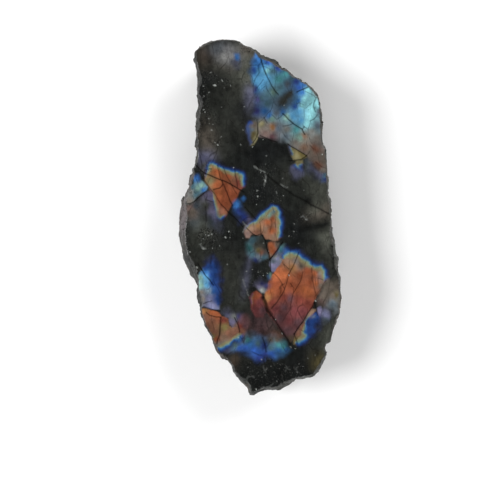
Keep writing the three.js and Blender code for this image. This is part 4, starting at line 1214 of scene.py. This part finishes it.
def patch_edge(points, outline):
    """How far in from the patch's outline each point is, and how wide the edge is there, in mm."""
    corners = to_mm([(x, y) for x, y, _ in outline])
    widths = np.array([w for _, _, w in outline]) * MM_PER_PIXEL
    nearest = np.full(len(points), np.inf)
    width = np.ones(len(points))
    for k in range(len(corners)):
        after = (k + 1) % len(corners)
        distance, t = segment_distance(points, corners[k], corners[after])
        closer = distance < nearest
        nearest = np.where(closer, distance, nearest)
        width = np.where(closer, widths[k] * (1 - t) + widths[after] * t, width)
    return np.where(inside(points, corners), nearest, -nearest), width


def edge_run(share, kind):
    """The run of colours across a patch's edge, and how much the patch's own fill has taken over."""
    places = [place for place, _ in EDGE_RUNS[kind]]
    hues = np.array([linear(name, EDGE_BRIGHTNESS) for _, name in EDGE_RUNS[kind]])
    at = np.clip(share, -1, 1)
    run = np.stack([np.interp(at, places, hues[:, channel]) for channel in range(3)], axis=1)
    return run, smoothstep((at - places[-1]) / (1 - places[-1]))


def flash_colour(points, colour):
    """Lays the patches of flash over the cloudy stone. Also gives how strong the flash is."""
    flash = np.zeros(len(points))
    flat = with_height(points)
    moved = points + PATCH_WANDER * drift(flat, PATCH_WANDER_SIZE, SEEDS["patch wander"], octaves=3)
    swell = SWELL_LEAST + SWELL * noise(flat, SWELL_SIZE, seed=SEEDS["edge swell"])
    ragged = RAGGEDNESS * fractal(flat, RAGGED_SIZE, octaves=2, seed=SEEDS["ragged edge"])
    for edge, outline, fill in FLASHES.values():
        signed, width = patch_edge(moved, outline)
        soft = smoothstep((width / MM_PER_PIXEL - SHARP_EDGE) / (SOFT_EDGE - SHARP_EDGE))
        share = signed / (width * (1 + soft * swell)) + soft * ragged
        amount = smoothstep((share + 1) / (RUN_RISE if edge in EDGE_RUNS else PLAIN_RISE))
        near = amount > 0
        own = patch_fill(moved[near], fill) * (1 + ragged[near])[:, None]
        if edge in EDGE_RUNS:
            run, filled = edge_run(share[near], edge)
            own = mixed(run, own, np.maximum(filled, 1 - soft[near]))
        colour[near] = mixed(colour[near], own, amount[near])
        flash[near] = np.maximum(flash[near], amount[near])
    return colour, flash


def paint(mesh, rim, cracks):
    """Stores what the material reads: the stone's colours, and where it is polished, cracked or chipped."""
    points = vertex_points(mesh)
    flat = points[:, :2]
    on_face = points[:, 2] > FACE_HEIGHT - FACE_CUT_SHARE * CUT_BELOW_FACE
    on_face &= inside(flat, rim)
    ground, _ = cloud_colour(flat, "body", CLOUDS)
    stone, flash = flash_colour(flat, ground)
    wall, stained = wall_colour(points)
    _, dark = crack_amount(flat, cracks)
    glints_and_pits = glint_and_pit_amount(flat) * on_face
    worn = loop_distance(flat, rim) / rim_width(flat)
    values = {
        "polish": smoothstep(worn * POLISH_RISE - POLISH_START) * on_face,
        "flash": flash * on_face,
        "crack": dark * on_face,
        # The painted glints of the light pits, together with the light veins
        "glint_and_vein": np.maximum(glints_and_pits, 0),
        "pit": np.maximum(-glints_and_pits, 0),
        "scar": scar_amount(flat) * on_face,
        "unstained": 1 - stained,
    }
    for name, value in values.items():
        mesh.attributes.new(name, "FLOAT", "POINT").data.foreach_set("value", value.astype(np.float32))
    for name, value in (("stone", stone), ("wall", wall)):
        four = np.column_stack([value, np.ones(len(value))]).astype(np.float32)
        mesh.attributes.new(name, "FLOAT_COLOR", "POINT").data.foreach_set("color", four.ravel())


# Materials

# Noises of the material: the size of their lumps in mm, their detail and their roughness
NOISES = {
    "streaks": (1.8, 4.0, 0.65),
    "mottle": (2.4, 5.0, 0.62),
    "grain": (0.45, 2.0, 0.6),
    "dusty places": (5.0, 3.0, 0.6),
    "crumbs": (0.5, 3.0, 0.7),
    "fine dust": (0.36, 4.0, 0.75),
    "coarse dust": (1.0, 5.0, 0.8),
    "grey patches": (9.0, 4.0, 0.55),
    "stain": (5.0, 5.0, 0.65),
    "powder": (0.7, 4.0, 0.75),
    "scratches": (0.5, 2.0, 0.5),
    "broken gloss": (1.2, 3.0, 0.6),
    "rough bumps": (0.9, 6.0, 0.65),
    "small bumps": (0.25, 3.0, 0.5),
    "polished bumps": (0.7, 2.0, 0.5),
}

# Noises that are drawn out one way: how they are turned, in radians, and scaled along each axis
DRAWN_OUT = {
    "streaks": ((0, 0, 0.45), (1.0, 0.4, 1.0)),
    "scratches": ((0, 0, 0.9), (1.0, 0.05, 1.0)),
    "hairlines": ((0, 0, 0.5), (1.0, 0.32, 1.0)),
}

# Soft ranges: the values where each begins and ends, and what it gives there
RANGES = {
    "streak shade": (0.3, 0.7, 0.75, 1.25),
    "mottle shade": (0.25, 0.75, -0.4, 0.4),
    "grain shade": (0.3, 0.7, -0.1, 0.1),
    "veined by mottle": (0.42, 0.6, 0.0, 1.0),
    "veined by streaks": (0.55, 0.7, 0.0, 1.0),
    "crumbs": (0.54, 0.4, 0.0, 0.95),
    "fine dust": (0.59, 0.7, 0.0, 1.0),
    "coarse dust": (0.6, 0.72, 0.0, 1.0),
    "dusty places": (0.5, 0.7, 0.0, 0.3),
    "free of clouds": (0.1, 0.7, 0.15, 1.0),
    "grey patches": (0.38, 0.62, 0.0, 0.55),
    "stain": (0.5, 0.66, 0.0, 0.7),
    "powder": (0.6, 0.7, 0.0, 0.7),
    # Painted shade: where the powder's noise is low, as in hollows
    "hollow_shade": (0.49, 0.36, 0.0, 0.9),
    "polished roughness": (0.3, 0.7, 0.11, 0.2),
    "broken roughness": (0.35, 0.65, 0.45, 0.75),
}

# The colours that the material lays over the stone: names in the palette and their brightness
LAYERS = {
    "hairlines": ("darkbrown", 0.4),
    "crumbs": ("black", 1.0),
    "dust": ("grey", 1.0),
    "cracks": ("darkbrown", 0.2),
    "pits": ("black", 0.7),
    # The pale colour of the painted glints on the light pits, also used for the light veins
    "glints_and_pits": ("palegrey", 1.15),
    "grey patches": ("dimgrey", 1.0),
    "stain": ("brown", 1.0),
    "powder": ("palegrey", 1.05),
    # The dark colour of the painted shade in the hollows
    "hollow_shade": ("body", 0.7),
}

# The most that each of these layers covers
HAIRLINE_SHARE = 0.55
DUST_SHARE = 0.62
CRACK_SHARE = 0.9
PIT_SHARE = 0.95

# The streaks and clouds show this much in the flash, where the rest of their shade is even
FLASH_SHADE = 0.65

# Fine irregular cracks: the size of the lumps between them in mm and their width as a share of it,
# with the size and the depth of their bends as shares of the same
COARSE_HAIRLINES = (3.4, 0.035)
FINE_HAIRLINES = (1.5, 0.04)
HAIRLINE_BEND_SCALE = 0.7
HAIRLINE_BEND = 0.6

# Gloss: the refraction of feldspar, its specular level, and the roughness of scars and of the glinting pits
# and veins
REFRACTION = 1.56
SPECULAR_LEVEL = 0.32
SCAR_MATTNESS = 0.7
MARK_ROUGHNESS = 0.28

# Bumps: their strength, their depth in mm, and the share of it that the small and the polished ones take
BUMP_STRENGTH = 0.8
BUMP_DEPTH = 0.25
SMALL_BUMPS = 0.5
POLISHED_BUMPS = 0.02

# Where a Mix node has its two inputs and its output: for colours, and for numbers
COLOUR_SOCKETS = (6, 7, 2)
NUMBER_SOCKETS = (2, 3, 0)


class Nodes:
    """Short ways to add nodes to a material."""

    def __init__(self, name):
        self.material = bpy.data.materials.new(name)
        self.material.use_nodes = True
        self.tree = self.material.node_tree
        self.tree.nodes.clear()

    def add(self, kind, **settings):
        node = self.tree.nodes.new(kind)
        for key, value in settings.items():
            setattr(node, key, value)
        return node

    def join(self, source, target):
        self.tree.links.new(source, target)

    def fill(self, socket, value):
        """Joins the socket to another one, or sets it to a plain value."""
        if isinstance(value, bpy.types.NodeSocket):
            self.join(value, socket)
        else:
            socket.default_value = value

    def surface(self):
        """The material's shader, joined to its output."""
        bsdf = self.add("ShaderNodeBsdfPrincipled")
        out = self.add("ShaderNodeOutputMaterial")
        self.join(bsdf.outputs["BSDF"], out.inputs["Surface"])
        return bsdf

    def place(self):
        return self.add("ShaderNodeTexCoord").outputs["Object"]

    def attribute(self, name, output="Fac"):
        return self.add("ShaderNodeAttribute", attribute_name=name).outputs[output]

    def mix(self, share, a, b, data_type="RGBA", blend_type="MIX"):
        node = self.add("ShaderNodeMix", data_type=data_type, blend_type=blend_type)
        first, second, result = COLOUR_SOCKETS if data_type == "RGBA" else NUMBER_SOCKETS
        self.fill(node.inputs[0], share)
        self.fill(node.inputs[first], a)
        self.fill(node.inputs[second], b)
        return node.outputs[result]

    def blend(self, share, a, b):
        return self.mix(share, a, b, data_type="FLOAT")

    def cover(self, colour, share, layer):
        """The colour with a share of a layer's colour over it."""
        return self.mix(share, colour, (*linear(*LAYERS[layer]), 1.0))

    def math(self, operation, a, b=0.0, c=0.0):
        node = self.add("ShaderNodeMath", operation=operation)
        for socket, value in zip(node.inputs, (a, b, c)):
            self.fill(socket, value)
        return node.outputs[0]

    def drawn_out(self, place, name):
        mapping = self.add("ShaderNodeMapping")
        self.join(place, mapping.inputs["Vector"])
        turn, scale = DRAWN_OUT[name]
        mapping.inputs["Rotation"].default_value = turn
        mapping.inputs["Scale"].default_value = scale
        return mapping.outputs["Vector"]

    def noise(self, place, name):
        node = self.add("ShaderNodeTexNoise")
        self.join(self.drawn_out(place, name) if name in DRAWN_OUT else place, node.inputs["Vector"])
        size, detail, roughness = NOISES[name]
        node.inputs["Scale"].default_value = 1 / (size * MM)
        node.inputs["Detail"].default_value = detail
        node.inputs["Roughness"].default_value = roughness
        return node.outputs["Fac"]

    def range(self, value, limits):
        """A soft step from one amount to another as the value goes from its low limit to its high one."""
        node = self.add("ShaderNodeMapRange", interpolation_type="SMOOTHSTEP")
        for socket, item in zip(node.inputs, (value, *limits)):
            self.fill(socket, item)
        return node.outputs[0]

    def hairlines(self, place, kind):
        """Fine irregular cracks between lumps: 1 on a crack and 0 off it."""
        size, width = kind
        bend = self.add("ShaderNodeTexNoise")
        self.join(place, bend.inputs["Vector"])
        bend.inputs["Scale"].default_value = HAIRLINE_BEND_SCALE / (size * MM)
        offset = self.add("ShaderNodeVectorMath", operation="MULTIPLY_ADD")
        self.join(bend.outputs["Color"], offset.inputs[0])
        offset.inputs[1].default_value = (HAIRLINE_BEND * size * MM,) * 3
        self.join(place, offset.inputs[2])
        cells = self.add("ShaderNodeTexVoronoi", feature="DISTANCE_TO_EDGE")
        self.join(self.drawn_out(offset.outputs[0], "hairlines"), cells.inputs["Vector"])
        cells.inputs["Scale"].default_value = 1 / (size * MM)
        return self.range(cells.outputs["Distance"], (0.0, width, 1.0, 0.0))


def polished_colour(n, place):
    """The face: clouds and flash with streaks and a faint grain, then hairlines, scars, dust, and painted
    glints with the light veins.
    """
    streaks = n.noise(place, "streaks")
    mottle = n.noise(place, "mottle")
    shade = n.math("ADD", n.range(streaks, RANGES["streak shade"]), n.range(mottle, RANGES["mottle shade"]))
    shade = n.math("ADD", shade, n.range(n.noise(place, "grain"), RANGES["grain shade"]))
    even = n.math("MULTIPLY_ADD", shade, FLASH_SHADE, 1 - FLASH_SHADE)
    shade = n.blend(n.attribute("flash"), shade, even)
    grey = n.add("ShaderNodeCombineColor")
    for socket in grey.inputs[:3]:
        n.join(shade, socket)
    face = n.mix(1.0, n.attribute("stone", "Color"), grey.outputs[0], blend_type="MULTIPLY")

    by_mottle = n.range(mottle, RANGES["veined by mottle"])
    by_streaks = n.range(streaks, RANGES["veined by streaks"])
    coarse = n.math("MULTIPLY", n.hairlines(place, COARSE_HAIRLINES), by_mottle)
    fine = n.math("MULTIPLY", n.hairlines(place, FINE_HAIRLINES), by_streaks)
    hairlines = n.math("MULTIPLY", n.math("MAXIMUM", coarse, fine), HAIRLINE_SHARE)
    face = n.cover(face, hairlines, "hairlines")

    scar = n.attribute("scar")
    crumbs = n.range(n.noise(place, "crumbs"), RANGES["crumbs"])
    face = n.cover(face, n.math("MULTIPLY", scar, crumbs), "crumbs")
    fine_dust = n.range(n.noise(place, "fine dust"), RANGES["fine dust"])
    coarse_dust = n.range(n.noise(place, "coarse dust"), RANGES["coarse dust"])
    dust = n.math("MULTIPLY", n.math("MAXIMUM", fine_dust, coarse_dust), DUST_SHARE)
    dusty = n.math("MAXIMUM", scar, n.range(n.noise(place, "dusty places"), RANGES["dusty places"]))
    face = n.cover(face, n.math("MULTIPLY", dust, dusty), "dust")

    face = n.cover(face, n.math("MULTIPLY", n.attribute("crack"), CRACK_SHARE), "cracks")
    face = n.cover(face, n.math("MULTIPLY", n.attribute("pit"), PIT_SHARE), "pits")
    # Painted glints on the light pits, and the light veins
    return n.cover(face, n.attribute("glint_and_vein"), "glints_and_pits")


def broken_colour(n, place):
    """The wall and back: grey feldspar with brown stain, pale powder on the ridges and painted shade in the
    hollows.
    """
    free = n.range(n.attribute("unstained"), RANGES["free of clouds"])
    patches = n.range(n.noise(place, "grey patches"), RANGES["grey patches"])
    broken = n.cover(n.attribute("wall", "Color"), n.math("MULTIPLY", free, patches), "grey patches")
    stain = n.range(n.noise(place, "stain"), RANGES["stain"])
    broken = n.cover(broken, n.math("MULTIPLY", free, stain), "stain")
    powder = n.noise(place, "powder")
    ridges = n.math("MULTIPLY", n.math("SQRT", free), n.range(powder, RANGES["powder"]))
    broken = n.cover(broken, ridges, "powder")
    # Painted shade: the dark stone colour laid in the hollows of the powder's noise
    return n.cover(broken, n.range(powder, RANGES["hollow_shade"]), "hollow_shade")


def roughness(n, place, polish):
    """Faint scratches in the polish, duller scars, glinting pits and veins, and a matte broken surface."""
    glossy = n.range(n.noise(place, "scratches"), RANGES["polished roughness"])
    marks = n.math("MAXIMUM", n.attribute("glint_and_vein"), n.math("MULTIPLY", n.attribute("scar"), SCAR_MATTNESS))
    glossy = n.blend(marks, glossy, MARK_ROUGHNESS)
    matte = n.range(n.noise(place, "broken gloss"), RANGES["broken roughness"])
    return n.blend(polish, matte, glossy)


def bumps(n, place, polish):
    """Strong bumps on the broken surface and very faint ones on the polished face."""
    small = n.math("MULTIPLY", n.noise(place, "small bumps"), SMALL_BUMPS)
    rough = n.math("ADD", n.noise(place, "rough bumps"), small)
    fine = n.math("MULTIPLY", n.noise(place, "polished bumps"), POLISHED_BUMPS)
    bump = n.add("ShaderNodeBump")
    bump.inputs["Strength"].default_value = BUMP_STRENGTH
    bump.inputs["Distance"].default_value = BUMP_DEPTH * MM
    n.join(n.blend(polish, rough, fine), bump.inputs["Height"])
    return bump.outputs["Normal"]


def stone_material():
    """Polished on the face and broken everywhere else, as the mesh's polish attribute says."""
    n = Nodes("labradorite")
    place = n.place()
    polish = n.attribute("polish")
    bsdf = n.surface()
    n.join(n.mix(polish, broken_colour(n, place), polished_colour(n, place)), bsdf.inputs["Base Color"])
    n.join(roughness(n, place, polish), bsdf.inputs["Roughness"])
    n.join(bumps(n, place, polish), bsdf.inputs["Normal"])
    bsdf.inputs["IOR"].default_value = REFRACTION
    bsdf.inputs["Specular IOR Level"].default_value = SPECULAR_LEVEL
    return n.material


# Putting the stone together

def close_top(shell, rim_verts, corners, heights, triangles, origins):
    """Adds the face to the open shell. Corners that are on the rim are the shell's own vertices."""
    verts = []
    for (x, y), z, origin in zip(corners, heights, origins):
        on_rim = [k for k in origin if k < len(rim_verts)]
        verts.append(rim_verts[on_rim[0]] if on_rim else shell.verts.new((x, y, z)))
    for triangle in triangles:
        shell.faces.new([verts[k] for k in triangle])
    bmesh.ops.recalc_face_normals(shell, faces=shell.faces[:])
    bmesh.ops.triangulate(shell, faces=[f for f in shell.faces if len(f.verts) > 4])


def build_stone():
    """The stone's mesh in mm, with the rim of its face and the lines of its cracks."""
    source = even_shell()
    roughen(source)
    shell, rim_verts = open_top(source)
    rim = np.array([v.co[:2] for v in rim_verts])
    cracks = crack_lines()
    corners, triangles, origins = triangulate(rim, cracks)
    close_top(shell, rim_verts, corners, face_height(corners, rim, cracks), triangles, origins)
    mesh = bpy.data.meshes.new("labradorite_stone")
    shell.to_mesh(mesh)
    shell.free()
    bpy.data.meshes.remove(source)
    return mesh, rim, cracks


def make_stone():
    """The stone as a painted object in metres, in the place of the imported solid."""
    mesh, rim, cracks = build_stone()
    paint(mesh, rim, cracks)
    mesh.transform(Matrix.Scale(MM, 4))
    mesh.shade_smooth()
    mesh.set_sharp_from_angle(angle=math.radians(SHARP_ANGLE))
    stone = bpy.data.objects.new("labradorite_stone", mesh)
    bpy.context.scene.collection.objects.link(stone)
    mesh.materials.append(stone_material())
    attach(stone, "root")
    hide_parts(NODE)


# The stage: floor, camera and lights, in metres

# The camera: its height over the face and the sensor width that its lens is meant for, in mm
CAMERA_HEIGHT = 450.0
SENSOR = 36.0
CLIP_START = 0.01
CLIP_END = 20

# The floor: its size, how far under the stone it lies, and its grey and finish
FLOOR_SIZE = 6
FLOOR_GAP = 0.0002
FLOOR_GREY = 0.86
FLOOR_ROUGHNESS = 0.9
FLOOR_SPECULAR = 0.1

# The lights: place, size across, and power in watts
LIGHTS = {
    "key": ((-1.15, -0.05, 1.05), 0.9, 25),
    "fill": ((0.95, 0.85, 0.9), 0.9, 14),
    "front": ((0.1, -1.3, 0.9), 0.9, 9),
}

# The sky: heights from 0 at the horizon to 1 overhead, and the grey at each
SKY = [(0.15, 0.92), (0.8, 0.07)]
SKY_STRENGTH = 0.9


def make_floor():
    bpy.ops.mesh.primitive_plane_add(size=FLOOR_SIZE, location=(0, 0, -FLOOR_GAP))
    floor = bpy.context.object
    floor.name = "floor"
    n = Nodes("pale_floor")
    bsdf = n.surface()
    bsdf.inputs["Base Color"].default_value = (FLOOR_GREY, FLOOR_GREY, FLOOR_GREY, 1)
    bsdf.inputs["Roughness"].default_value = FLOOR_ROUGHNESS
    bsdf.inputs["Specular IOR Level"].default_value = FLOOR_SPECULAR
    floor.data.materials.append(n.material)


def make_camera():
    """Looks straight down on the face and takes in just what the photograph does."""
    camera = bpy.data.cameras.new("camera")
    camera.sensor_width = SENSOR
    camera.lens = SENSOR * CAMERA_HEIGHT / (PHOTO_SIZE * MM_PER_PIXEL)
    camera.clip_start = CLIP_START
    camera.clip_end = CLIP_END
    holder = bpy.data.objects.new("camera", camera)
    bpy.context.scene.collection.objects.link(holder)
    x, y = to_mm((PHOTO_SIZE / 2, PHOTO_SIZE / 2)) * MM
    holder.location = (x, y, (FACE_HEIGHT + CAMERA_HEIGHT) * MM)
    bpy.context.scene.camera = holder


def make_light(name, place, size, power):
    """A round soft light that shines at the stone."""
    light = bpy.data.lights.new(name, "AREA")
    light.shape = "DISK"
    light.size = size
    light.energy = power
    holder = bpy.data.objects.new(name, light)
    bpy.context.scene.collection.objects.link(holder)
    holder.location = place
    holder.rotation_mode = "QUATERNION"
    holder.rotation_quaternion = Vector(place).to_track_quat("Z", "Y")


def make_world():
    """Pale at the horizon and dimmer overhead, so that the polished face keeps its depth."""
    world = bpy.data.worlds.new("studio")
    bpy.context.scene.world = world
    world.use_nodes = True
    tree = world.node_tree
    place = tree.nodes.new("ShaderNodeTexCoord")
    split = tree.nodes.new("ShaderNodeSeparateXYZ")
    ramp = tree.nodes.new("ShaderNodeValToRGB")
    tree.links.new(place.outputs["Generated"], split.inputs[0])
    tree.links.new(split.outputs["Z"], ramp.inputs["Fac"])
    tree.links.new(ramp.outputs["Color"], tree.nodes["Background"].inputs["Color"])
    for stop, (position, grey) in zip(ramp.color_ramp.elements, SKY):
        stop.position = position
        stop.color = (grey, grey, grey, 1)
    tree.nodes["Background"].inputs["Strength"].default_value = SKY_STRENGTH


def make_stage():
    """A pale floor under three soft lights."""
    make_floor()
    for name, (place, size, power) in LIGHTS.items():
        make_light(name, place, size, power)
    make_world()
    bpy.context.scene.view_settings.view_transform = "Standard"


make_camera()
make_stone()
make_stage()
